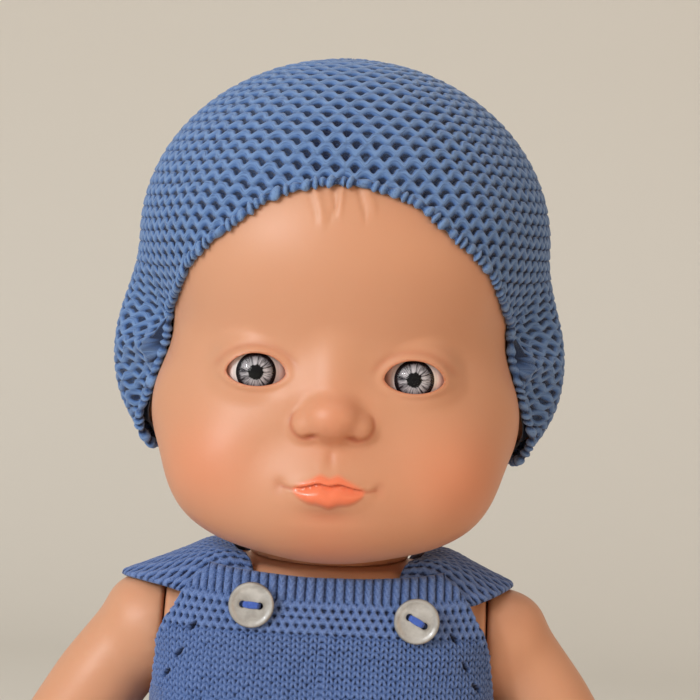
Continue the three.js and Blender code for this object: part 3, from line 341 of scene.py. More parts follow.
class Nodes:
    """Builds one procedural material, node by node."""

    def __init__(self, name: str) -> None:
        self.material = bpy.data.materials.new(name)
        self.material.use_nodes = True
        self.tree = self.material.node_tree
        self.shader = self.tree.nodes["Principled BSDF"]

    def add(self, kind: str, **values: object) -> bpy.types.Node:
        """Add a node and set its properties and inputs by name."""
        node = self.tree.nodes.new(kind)
        for key, value in values.items():
            if hasattr(node, key):
                setattr(node, key, value)
            else:
                node.inputs[key.replace("_", " ")].default_value = value
        return node

    def join(self, source: bpy.types.NodeSocket, target: bpy.types.NodeSocket) -> None:
        """Link two sockets."""
        self.tree.links.new(source, target)

    def coordinates(self, scale: tuple[float, float, float] = (1, 1, 1)) -> bpy.types.NodeSocket:
        """Return object coordinates, scaled."""
        source = self.add("ShaderNodeTexCoord").outputs["Object"]
        mapping = self.add("ShaderNodeMapping")
        mapping.inputs["Scale"].default_value = scale
        self.join(source, mapping.inputs["Vector"])
        return mapping.outputs["Vector"]

    def noise(self, scale: float, detail: float = 2.0, vector: bpy.types.NodeSocket | None = None) -> bpy.types.NodeSocket:
        """Return a noise factor at a scale per metre."""
        node = self.add("ShaderNodeTexNoise")
        node.inputs["Scale"].default_value = scale
        node.inputs["Detail"].default_value = detail
        self.join(vector or self.coordinates(), node.inputs["Vector"])
        return node.outputs["Fac"]

    def attribute(self, name: str) -> bpy.types.NodeSocket:
        """Return a vertex attribute's number."""
        return self.add("ShaderNodeAttribute", attribute_name=name).outputs["Fac"]

    def ramp(self, factor: bpy.types.NodeSocket, stops: Sequence[tuple[float, tuple[float, float, float]]]) -> bpy.types.NodeSocket:
        """Return a colour ramp over a factor. Each stop is a place and a linear colour."""
        node = self.add("ShaderNodeValToRGB")
        elements = node.color_ramp.elements
        while len(elements) < len(stops):
            elements.new(0.5)
        for element, (place, colour) in zip(elements, stops):
            element.position = place
            element.color = (*colour, 1.0)
        self.join(factor, node.inputs["Fac"])
        return node.outputs["Color"]

    def between(self, factor: bpy.types.NodeSocket, low: float, high: float, to_low: float = 0.0, to_high: float = 1.0) -> bpy.types.NodeSocket:
        """Map a factor from one range to another, clamped."""
        node = self.add("ShaderNodeMapRange")
        for socket, value in zip(("From Min", "From Max", "To Min", "To Max"), (low, high, to_low, to_high)):
            node.inputs[socket].default_value = value
        self.join(factor, node.inputs["Value"])
        return node.outputs["Result"]

    def mix(self, factor: bpy.types.NodeSocket, a: object, b: object, blend: str = "MIX") -> bpy.types.NodeSocket:
        """Mix two colours or colour sockets by a factor."""
        node = self.add("ShaderNodeMix", data_type="RGBA", blend_type=blend)
        self.join(factor, node.inputs["Factor"])
        for socket, value in ((node.inputs[6], a), (node.inputs[7], b)):
            if isinstance(value, tuple):
                socket.default_value = (*value, 1.0)
            else:
                self.join(value, socket)
        return node.outputs[2]

    def math(self, operation: str, a: object, b: object = 0.0) -> bpy.types.NodeSocket:
        """Return the result of a two-value sum or product."""
        node = self.add("ShaderNodeMath", operation=operation)
        for socket, value in zip(node.inputs, (a, b)):
            if isinstance(value, (int, float)):
                socket.default_value = value
            else:
                self.join(value, socket)
        return node.outputs["Value"]

    def bump(self, height: bpy.types.NodeSocket, distance: float, strength: float = 1.0) -> None:
        """Raise the surface by a height factor times a distance in metres."""
        node = self.add("ShaderNodeBump")
        node.inputs["Distance"].default_value = distance
        node.inputs["Strength"].default_value = strength
        self.join(height, node.inputs["Height"])
        self.join(node.outputs["Normal"], self.shader.inputs["Normal"])

    def set(self, **values: object) -> None:
        """Set the shader's own sockets. Underscores in a name stand for spaces."""
        for key, value in values.items():
            socket = self.shader.inputs[key.replace("_", " ")]
            socket.default_value = (*value, 1.0) if isinstance(value, tuple) and len(value) == 3 and socket.type == "RGBA" else value


def srgb(code: str) -> tuple[float, float, float]:
    """Return a linear colour from a six-digit hex code."""
    parts = [int(code[i : i + 2], 16) / 255 for i in (0, 2, 4)]
    return tuple(((p + 0.055) / 1.055) ** 2.4 if p > 0.04045 else p / 12.92 for p in parts)


@dataclass(frozen=True)
class VinylFinish:
    """Skin-coloured vinyl with sprayed blush, lips and eye corners, and painted shade in the face's creases."""

    skin: str = "cb9575"
    warm: str = "bf7449"
    blush: str = "e07850"
    lips: str = "e67c58"
    # Dark red-brown painted shade for the creases around the eyes, nose and mouth.
    painted_shade: str = "a3431f"
    roughness: float = 0.42

    def build(self) -> bpy.types.Material:
        """Build the material."""
        nodes = Nodes("vinyl")
        mottle = nodes.between(nodes.noise(22, 2), 0.35, 0.65)
        colour = nodes.mix(mottle, srgb(self.skin), srgb(self.warm))
        soft = nodes.math("MULTIPLY", mottle, 0.12)
        colour = nodes.mix(soft, srgb(self.skin), srgb(self.warm))
        colour = nodes.mix(nodes.attribute("blush"), colour, srgb(self.blush))
        # Mix in the painted shade of the face's creases.
        colour = nodes.mix(nodes.attribute("painted_shade"), colour, srgb(self.painted_shade))
        colour = nodes.mix(nodes.attribute("lips"), colour, srgb(self.lips))
        nodes.join(colour, nodes.shader.inputs["Base Color"])
        rough = nodes.between(nodes.attribute("lips"), 0, 1, self.roughness, 0.2)
        nodes.join(rough, nodes.shader.inputs["Roughness"])
        nodes.set(Subsurface_Weight=0.12, Subsurface_Scale=0.004, Specular_IOR_Level=0.35)
        nodes.shader.inputs["Subsurface Radius"].default_value = (1.0, 0.45, 0.25)
        nodes.bump(nodes.noise(900, 2), 0.00006, 0.35)
        return nodes.material


class HeadPiece:
    """The moulded vinyl head."""

    COLUMNS = 320
    ROWS_ABOVE = 96
    ROWS_BELOW = 110
    FACE_LATITUDE = math.radians(-22.0)
    GATHER = 0.66
    EVEN = 0.4

    def __init__(self, shape: HeadShape, vinyl: bpy.types.Material) -> None:
        self.shape = shape
        self.vinyl = vinyl

    def latitudes(self) -> Array:
        """Return the rows' latitudes, gathered at the face."""
        rows = np.arange(-self.ROWS_BELOW + 1, self.ROWS_ABOVE)
        share = np.where(rows > 0, rows / self.ROWS_ABOVE, rows / self.ROWS_BELOW)
        span = np.where(rows > 0, math.pi / 2 - self.FACE_LATITUDE, math.pi / 2 + self.FACE_LATITUDE)
        return self.FACE_LATITUDE + span * (self.EVEN * share + (1 - self.EVEN) * share**3)

    def build(self) -> bpy.types.Object:
        """Build the head with its openings for the eyes."""
        sizes = self.shape.sizes
        even = np.arange(self.COLUMNS) * math.tau / self.COLUMNS
        longitude = even - self.GATHER * np.sin(even)
        latitude = self.latitudes()
        lat, lon = np.meshgrid(latitude, longitude, indexing="ij")
        ways = directions(lat.ravel(), lon.ravel())
        reach = self.shape.reach(self.shape.face, ways)
        middle = np.array([0.0, 0.0, sizes.middle])
        p = middle + ways * reach[:, None]
        reach = reach + self.relief(p)
        p = middle + ways * reach[:, None]
        grid = (p + np.array([0, 0, sizes.eye_line])).reshape(*lat.shape, 3) * MM
        head = Meshes.grid("head_shell", grid, True, (True, True))
        Meshes.outward(head)
        self.cut_neck(head)
        self.cut_eyes(head)
        self.colour(head)
        Meshes.smooth(head)
        head.data.materials.append(self.vinyl)
        log.info("head_shell: %d faces", len(head.data.polygons))
        return head

    def relief(self, p: Array) -> Array:
        """Return fine moulded detail as a change of reach in millimetres.

        Args:
            p: Points on the face in millimetres from the pupils' line.
        """
        x, y, z = p.T
        front = smoothstep(-20, -38, y)
        side = np.abs(x)
        change = np.zeros(len(p))
        edge = self.almond_distance(side - sizes_eye_x(self.shape), z)
        change += 0.34 * bell(edge - 0.8, 0.8)
        change -= 0.26 * bell(edge - 2.6, 0.9) * smoothstep(0.5, 3.5, z)
        change -= 0.1 * bell(edge - 2.4, 0.9) * smoothstep(-1.0, -3.5, z)
        change -= 0.5 * bell(np.hypot(side / 1.1, (z + 21.4) / 2.4), 1.0)
        change += 0.07 * bell(side - 2.6, 1.0) * bell(z + 23.0, 3.0)
        change -= 1.0 * bell(np.hypot((side - 5.2 + 0.35 * (z + 16.0)) / 1.6, (z + 16.0) / 0.62), 1.0)
        change += 0.3 * bell(np.hypot(side - 11.5, z + 5.5), 4.5)
        change += 0.45 * bell(np.hypot(side * 0.6, z + 2.5), 4.5)
        change -= 0.5 * self.wing(side, z)
        change += self.mouth_relief(side, z)
        change -= 0.75 * bell(np.hypot(x * 0.24, z + 36.4), 1.9)
        for start, end, width, height in self.LOCKS:
            change += height * bell(self.segment(x, z, start, end), width)
        return change * front

    LOCKS = (
        ((-8.4, 51.0), (-5.0, 40.6), 0.95, 0.6),
        ((-10.0, 51.0), (-6.6, 41.4), 0.5, -0.3),
        ((-3.4, 51.0), (-1.9, 44.2), 0.5, -0.5),
        ((-1.9, 44.2), (-3.4, 41.0), 0.4, -0.4),
        ((-0.2, 51.0), (-0.6, 42.8), 0.8, 0.45),
        ((2.9, 51.0), (6.2, 41.2), 0.5, -0.5),
        ((5.0, 51.0), (8.2, 43.6), 0.8, 0.45),
    )

    @staticmethod
    def segment(x: Array, z: Array, start: tuple[float, float], end: tuple[float, float]) -> Array:
        """Return the distance from a line between two points of the face, in millimetres."""
        way = np.array(end) - np.array(start)
        along = ((x - start[0]) * way[0] + (z - start[1]) * way[1]) / (way @ way)
        along = np.clip(along, 0, 1)
        return np.hypot(x - start[0] - along * way[0], z - start[1] - along * way[1])

    @staticmethod
    def wing(side: Array, z: Array) -> Array:
        """Return how near places are to the crease around the nose's wings, up to 1."""
        along, up = side - 6.6, z + 12.4
        arc = bell(np.hypot(along, up) - 4.3, 0.55)
        return arc * smoothstep(-2.5, 0.5, along) * smoothstep(3.6, 1.0, up)

    @staticmethod
    def lip_line(side: Array) -> Array:
        """Return the height of the line between the lips."""
        rise = 0.42 * bell(side - 2.6, 1.7) - 0.15 * bell(side, 1.3)
        return -28.8 + rise - 0.85 * bell(side - 8.8, 3.6)

    def mouth_relief(self, side: Array, z: Array) -> Array:
        """Return the lips and the crease between them as a change of reach in millimetres."""
        line = self.lip_line(side)
        over = z - line
        taper = np.clip(1 - (side / 9.6) ** 2, 0, 1)
        fall = 0.6 + 5.2 * taper**0.85
        lower = 1.5 * taper * np.sin(math.pi * np.clip(-over / fall, 0, 1) ** 0.8)
        upper = 0.95 * taper**0.8 * bell(over - 1.3, 1.25) * smoothstep(0.0, 0.5, over)
        depth = 0.35 + 1.05 * smoothstep(10.5, 6.0, side)
        crease = depth * smoothstep(13.4, 12.2, side) * bell(over, 0.34 + 0.3 * smoothstep(9.0, 3.0, side))
        corner = 0.5 * bell(np.hypot(side - 12.9, (over + 0.1) * 0.8), 1.5)
        return lower + upper - crease - corner

    def almond_distance(self, x: Array, z: Array) -> Array:
        """Return a rough distance outside the almond of an eye opening, in millimetres."""
        sizes = self.shape.sizes
        half = sizes.opening_width / 2
        high = np.where(z > 0, sizes.opening_height * 0.58, sizes.opening_height * 0.42)
        lean = np.abs(z) / high
        round_share = np.abs(x / half) ** 2 + lean ** 1.75
        return (np.sqrt(round_share) - 1.0) * (half + high) / 2

    def cut_neck(self, head: bpy.types.Object) -> None:
        """Cut the head square on the neck joint and close it."""
        sizes = self.shape.sizes
        tilt = sizes.neck_tilt
        normal = Vector((0, -math.sin(tilt), math.cos(tilt)))
        place = Vector((0, sizes.neck_setback, sizes.eye_line - sizes.neck_drop)) * MM + normal * 0.00015
        bm = bmesh.new()
        bm.from_mesh(head.data)
        geometry = bm.verts[:] + bm.edges[:] + bm.faces[:]
        cut = bmesh.ops.bisect_plane(bm, geom=geometry, plane_co=place, plane_no=normal, clear_inner=True)
        edges = [e for e in cut["geom_cut"] if isinstance(e, bmesh.types.BMEdge)]
        bmesh.ops.contextual_create(bm, geom=edges)
        bm.to_mesh(head.data)
        bm.free()

    def cut_eyes(self, head: bpy.types.Object) -> None:
        """Cut the two eye openings through the face to their sockets."""
        sizes = self.shape.sizes
        for side in (1, -1):
            steps = 48
            turn = np.arange(steps) * math.tau / steps
            high = np.where(np.sin(turn) > 0, 0.58, 0.42) * sizes.opening_height
            x = side * sizes.eye_x + np.cos(turn) * sizes.opening_width / 2
            z = np.sign(np.sin(turn)) * np.abs(np.sin(turn)) ** 1.15 * high
            front = np.stack([x, np.full(steps, -70.0), z + sizes.eye_line], axis=1)
            back = np.stack([x, np.full(steps, -38.0), z + sizes.eye_line], axis=1)
            tool = Meshes.grid("opening", np.stack([front, back]) * MM, True, (True, True))
            Meshes.outward(tool)
            bpy.ops.mesh.primitive_uv_sphere_add(
                segments=48,
                ring_count=32,
                radius=(sizes.eye_radius + 0.25) * MM,
                location=(side * sizes.eye_x * MM, self.shape.eye[1] * MM, sizes.eye_line * MM),
            )
            ball = bpy.context.object
            for cutter in (tool, ball):
                modifier = head.modifiers.new("cut", "BOOLEAN")
                modifier.operation = "DIFFERENCE"
                modifier.object = cutter
                modifier.solver = "EXACT"
            Meshes.apply(head)
            Meshes.drop(tool)
            Meshes.drop(ball)

    def colour(self, head: bpy.types.Object) -> None:
        """Store where blush, lips and the painted shade of the face's creases lie."""
        p = Meshes.coordinates(head) / MM - np.array([0, 0, self.shape.sizes.eye_line])
        x, y, z = p.T
        side = np.abs(x)
        front = smoothstep(-22, -34, y)
        blush = 0.32 * bell(np.hypot((side - 33) / 1.1, z + 25), 13) * smoothstep(0, -20, y)
        blush += 0.22 * bell(np.hypot(x, z + 12), 9) * front
        blush += 0.25 * bell(np.hypot(x, (z + 44) * 1.2), 12) * front
        blush += 0.35 * smoothstep(49, 54, side) * smoothstep(24, 4, np.abs(z + 4))
        line = self.lip_line(side)
        taper = np.clip(1 - (side / 9.7) ** 2, 0, 1)
        upper = line + (2.5 + 0.35 * bell(side - 2.4, 1.4)) * taper**0.8
        lower = line - 5.3 * taper**0.85
        inside = np.minimum(upper - z, z - lower)
        lips = smoothstep(-0.9, 0.9, inside) * smoothstep(10.3, 8.6, side) * front
        edge = self.almond_distance(side - sizes_eye_x(self.shape), z)
        # Painted shade: lid creases, the rim of the eye openings (partly a painted eye-corner tint), nostrils, the
        # nose wings' creases, the philtrum, the shadow between the lips, under the lower lip and at the mouth
        # corners.
        painted_shade = 0.22 * bell(edge - 2.5, 0.9) * smoothstep(0, 3, z) * front
        painted_shade += 0.55 * bell(edge, 0.4) * front
        painted_shade += 0.62 * bell(np.hypot((side - 5.2 + 0.35 * (z + 16.0)) / 1.7, (z + 16.0) / 0.65), 1.0) * front
        painted_shade += 0.42 * self.wing(side, z) * front
        painted_shade += 0.13 * bell(np.hypot(side / 1.2, (z + 21.2) / 2.2), 1.0) * front
        painted_shade += 0.4 * bell(z - line - 0.5, 0.8) * smoothstep(9.0, 6.0, side) * front
        painted_shade += (0.5 + 0.45 * bell(side, 4.4)) * bell(z - line, 0.42 + 0.35 * bell(side, 5.0)) * smoothstep(13.2, 12.0, side) * front
        painted_shade += 0.3 * bell(np.hypot(x * 0.28, z + 36.6), 1.6) * front
        painted_shade += 0.16 * bell(np.hypot(side - 13.2, (z - line) * 0.6), 1.5) * front
        Meshes.paint(head, "blush", np.clip(blush, 0, 1))
        Meshes.paint(head, "lips", np.clip(lips, 0, 1))
        Meshes.paint(head, "painted_shade", np.clip(painted_shade, 0, 1))


def sizes_eye_x(shape: HeadShape) -> float:
    """Return the distance of a pupil from the middle plane in millimetres."""
    return shape.sizes.eye_x


class EyePiece:
    """The white, printed iris and clear front of one inset eye."""

    IRIS = 5.25
    FRONT = 6.1
    FRONT_BULGE = 0.55
    SPOKES = 96

    def __init__(self, shape: HeadShape, side: int, finishes: "EyeFinishes") -> None:
        self.shape = shape
        self.side = side
        self.finishes = finishes
        self.name = "left" if side > 0 else "right"

    def cap(self, name: str, rim: float, lift: Callable[[Array], Array], rings: int) -> bpy.types.Object:
        """Make a round cap over the front of the eyeball.

        Args:
            name: The object's name.
            rim: The cap's radius in millimetres.
            lift: Height over the eyeball for each radius.
            rings: How many rings the cap has.
        """
        sizes = self.shape.sizes
        ring = np.linspace(0.02, 1.0, rings)
        turn = np.arange(self.SPOKES) * math.tau / self.SPOKES
        share, angle = np.meshgrid(ring, turn, indexing="ij")
        radius = share * rim
        depth = np.sqrt(sizes.eye_radius**2 - radius**2) + lift(share)
        x = self.side * sizes.eye_x + radius * np.cos(angle)
        y = self.shape.eye[1] - depth
        z = sizes.eye_line + radius * np.sin(angle)
        made = Meshes.grid(name, np.stack([x, y, z], axis=-1) * MM, True, (True, False))
        Meshes.outward(made)
        Meshes.smooth(made)
        spread = np.stack([np.cos(angle), np.sin(angle), share], axis=-1).reshape(-1, 3)
        spread = np.vstack([spread, [[0, 0, 0]]])
        vectors = made.data.attributes.new("spoke", "FLOAT_VECTOR", "POINT")
        vectors.data.foreach_set("vector", spread.astype(np.float32).ravel())
        Meshes.paint(made, "ring", np.append(share.ravel(), 0.0))
        return made

    def build(self) -> list[bpy.types.Object]:
        """Build the eye's three pieces."""
        sizes = self.shape.sizes
        bpy.ops.mesh.primitive_uv_sphere_add(
            segments=64,
            ring_count=40,
            radius=sizes.eye_radius * MM,
            location=(self.side * sizes.eye_x * MM, self.shape.eye[1] * MM, sizes.eye_line * MM),
        )
        white = bpy.context.object
        white.name = f"{self.name}_eyeball"
        bpy.ops.object.transform_apply(location=True, rotation=True, scale=True)
        Meshes.smooth(white)
        p = Meshes.coordinates(white) / MM
        near = np.hypot(p[:, 0] - self.side * sizes.eye_x, p[:, 2] - sizes.eye_line)
        Meshes.paint(white, "corner", smoothstep(6.0, 8.0, near))
        iris = self.cap(f"{self.name}_iris_print", self.IRIS, lambda s: 0.05 + 0.0 * s, 40)
        front = self.cap(f"{self.name}_clear_front", self.FRONT, lambda s: 0.12 + self.FRONT_BULGE * (1 - s**2), 20)
        for piece, finish in ((white, self.finishes.white), (iris, self.finishes.iris), (front, self.finishes.front)):
            piece.data.materials.append(finish)
            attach(piece, "head")
        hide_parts(f"{self.name}_eye_white")
        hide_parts(f"{self.name}_eye_iris")
        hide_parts(f"{self.name}_eye_cornea")
        return [white, iris, front]


class EyeFinishes:
    """The three finishes of an eye."""

    def __init__(self) -> None:
        self.white = self.make_white()
        self.iris = self.make_iris()
        self.front = self.make_front()

    @staticmethod
    def make_white() -> bpy.types.Material:
        """Glossy off-white that warms towards the corners."""
        nodes = Nodes("eye_white")
        colour = nodes.mix(nodes.attribute("corner"), srgb("f1e8e4"), srgb("d9b3a6"))
        nodes.join(colour, nodes.shader.inputs["Base Color"])
        nodes.set(Roughness=0.12, Coat_Weight=0.6, Coat_Roughness=0.04)
        return nodes.material

    @staticmethod
    def make_iris() -> bpy.types.Material:
        """Grey streaked iris with a dark ring and a jagged pupil."""
        nodes = Nodes("iris_print")
        spoke = nodes.add("ShaderNodeAttribute", attribute_name="spoke").outputs["Vector"]
        scaled = nodes.add("ShaderNodeMapping")
        scaled.inputs["Scale"].default_value = (6.5, 6.5, 1.4)
        nodes.join(spoke, scaled.inputs["Vector"])
        coarse = nodes.noise(1.0, 2, scaled.outputs["Vector"])
        fine = nodes.noise(2.4, 2, scaled.outputs["Vector"])
        streak = nodes.between(nodes.math("ADD", coarse, nodes.math("MULTIPLY", fine, 0.6)), 0.62, 0.98)
        ring = nodes.attribute("ring")
        wobble = nodes.math("MULTIPLY", nodes.math("SUBTRACT", coarse, 0.5), 0.22)
        rough_ring = nodes.math("ADD", ring, wobble)
        bright = nodes.mix(streak, srgb("2a2630"), srgb("d6d4da"))
        dark = nodes.mix(streak, srgb("0c090e"), srgb("8e8a92"))
        body = nodes.mix(nodes.between(rough_ring, 0.55, 0.84), bright, dark)
        limbal = nodes.mix(nodes.between(rough_ring, 0.78, 0.86), body, srgb("0b070e"))
        pupil = nodes.mix(nodes.between(rough_ring, 0.37, 0.41), srgb("050507"), limbal)
        nodes.join(pupil, nodes.shader.inputs["Base Color"])
        nodes.set(Roughness=0.5, Specular_IOR_Level=0.1)
        return nodes.material

    @staticmethod
    def make_front() -> bpy.types.Material:
        """Clear domed acrylic."""
        nodes = Nodes("clear_front")
        shimmer = nodes.between(nodes.noise(60, 1), 0.3, 0.7, 0.02, 0.04)
        nodes.join(shimmer, nodes.shader.inputs["Roughness"])
        nodes.set(Base_Color=(0.01, 0.01, 0.012), Alpha=0.14, Coat_Weight=1.0, Coat_Roughness=0.02)
        nodes.set(Coat_IOR=1.7)
        return nodes.material


@dataclass(frozen=True)
class Gauge:
    """The size of one stitch in millimetres and how far the yarn stands out."""

    stitch: float
    row: float
    relief: float


class Stitches:
    """Height of knitted yarn over a plain surface, from 0 in the gaps to 1 on top of the yarn."""

    @staticmethod
    def cord(distance: Array, radius: float) -> Array:
        """Return the round profile of a yarn at a distance from its middle line."""
        return np.sqrt(np.clip(1.0 - (distance / radius) ** 2, 0.0, 1.0))

    @staticmethod
    def chance(i: Array, j: Array) -> Array:
        """Return an even scatter from 0 to 1 for whole numbers i and j."""
        mixed = np.sin(i * 12.9898 + j * 78.233) * 43758.5453
        return mixed - np.floor(mixed)

    @staticmethod
    def garter(u: Array, v: Array, swing: float = 0.27, yarn: float = 0.475) -> tuple[Array, Array]:
        """Return garter stitch: wavy cords, each shifted by half a stitch from the next.

        Args:
            u: Place along the cord, in stitches.
            v: Place across the cords, in rows.
            swing: How far a cord waves, in rows.
            yarn: The cord's radius, in rows.

        Returns:
            The height and the place across the cord on top, which the plies follow.
        """
        best = np.zeros(np.broadcast(u, v).shape)
        across = np.zeros_like(best)
        base = np.floor(v)
        for step in (-1, 0, 1, 2):
            k = base + step
            turn = u + 0.5 * k
            uneven = Stitches.chance(np.round(turn), k) - 0.5
            phase = math.tau * turn
            reach = swing + 0.08 * uneven
            wave = k + reach * np.cos(phase) + 0.05 * np.cos(2 * phase)
            slope = reach * np.sin(phase)
            away = (v - wave) / np.sqrt(1 + (slope * 2.2) ** 2)
            top = 0.9 + 0.08 * np.cos(phase) + 0.06 * np.cos(math.tau * (away * 2.1 + turn * 1.5))
            made = Stitches.cord(away, yarn + 0.05 * uneven) * top
            over = made > best
            best = np.where(over, made, best)
            across = np.where(over, away + k * 5.3, across)
        return np.clip(best, 0.0, 1.0), across

    @staticmethod
    def plain(u: Array, v: Array) -> Array:
        """Return stockinette: columns of nested V shapes.

        Args:
            u: Place across the columns, in stitches.
            v: Place along the columns, in rows, growing downwards.
        """
        side = np.abs(u - np.floor(u) - 0.5)
        best = np.zeros(np.broadcast(u, v).shape)
        base = np.floor(v)
        for step in (-1, 0, 1):
            uneven = Stitches.chance(np.floor(u), base + step) - 0.5
            across = side - 0.25
            along = v - base - step - 0.5 + 0.12 * uneven
            over = across + 0.3 * along
            down = (along - 0.5 * across) / 0.86
            leg = np.sqrt(np.clip(1.0 - (over / (0.262 + 0.03 * uneven)) ** 2 - down**2, 0.0, 1.0))
            best = np.maximum(best, leg * (0.9 + 0.12 * np.clip(-along, -1, 1) + 0.06 * uneven))
        return best

    @staticmethod
    def rib(u: Array, v: Array) -> Array:
        """Return one-by-one rib: raised columns of V shapes between sunk ones."""
        column = u / 2 - np.floor(u / 2) - 0.5
        uneven = Stitches.chance(np.floor(u / 2), np.floor(v)) - 0.5
        ridge = Stitches.cord(column, 0.43)
        notch = 0.84 + 0.1 * uneven + 0.16 * np.cos(math.tau * (v + np.abs(column) * 2.2))
        return 0.25 + 0.75 * ridge * notch


class KnitFinish:
    """Matte cotton yarn with painted shade in the gaps between the stitches and a painted highlight on the yarn's
    tops.
    """

    # deep is the painted shade of the gaps; light is the painted highlight of the yarn's tops, also used for paler
    # patches and fibres.
    def __init__(self, name: str, deep: str, body: str, light: str, plied: bool) -> None:
        self.name = name
        self.deep = deep
        self.body = body
        self.light = light
        self.plied = plied

    def build(self) -> bpy.types.Material:
        """Build the material."""
        nodes = Nodes(self.name)
        height = nodes.attribute("yarn")
        patch = nodes.between(nodes.noise(55, 3), 0.3, 0.7)
        fibre = nodes.noise(2600, 2)
        if self.plied:
            along = nodes.add("ShaderNodeMapping")
            along.inputs["Scale"].default_value = (1.6, 7.5, 1.0)
            nodes.join(nodes.add("ShaderNodeAttribute", attribute_name="thread").outputs["Vector"], along.inputs["Vector"])
            fibre = nodes.noise(1.0, 2, along.outputs["Vector"])
        # Painted shade in the gaps and painted highlight on the yarn's tops, by the yarn's height.
        colour = nodes.ramp(
            height,
            [(0.0, srgb(self.deep)), (0.3, srgb(self.deep)), (0.55, srgb(self.body)), (1.0, srgb(self.light))],
        )
        colour = nodes.mix(nodes.math("MULTIPLY", patch, 0.16), colour, srgb(self.light))
        colour = nodes.mix(nodes.between(fibre, 0.52, 0.72, 0.0, 0.4), colour, srgb(self.light))
        colour = nodes.mix(nodes.between(fibre, 0.46, 0.32, 0.0, 0.4), colour, srgb(self.deep))
        nodes.join(colour, nodes.shader.inputs["Base Color"])
        nodes.set(Roughness=0.95, Specular_IOR_Level=0.12, Sheen_Weight=0.25, Sheen_Roughness=0.5)
        nodes.bump(fibre, 0.00022, 0.8)
        return nodes.material


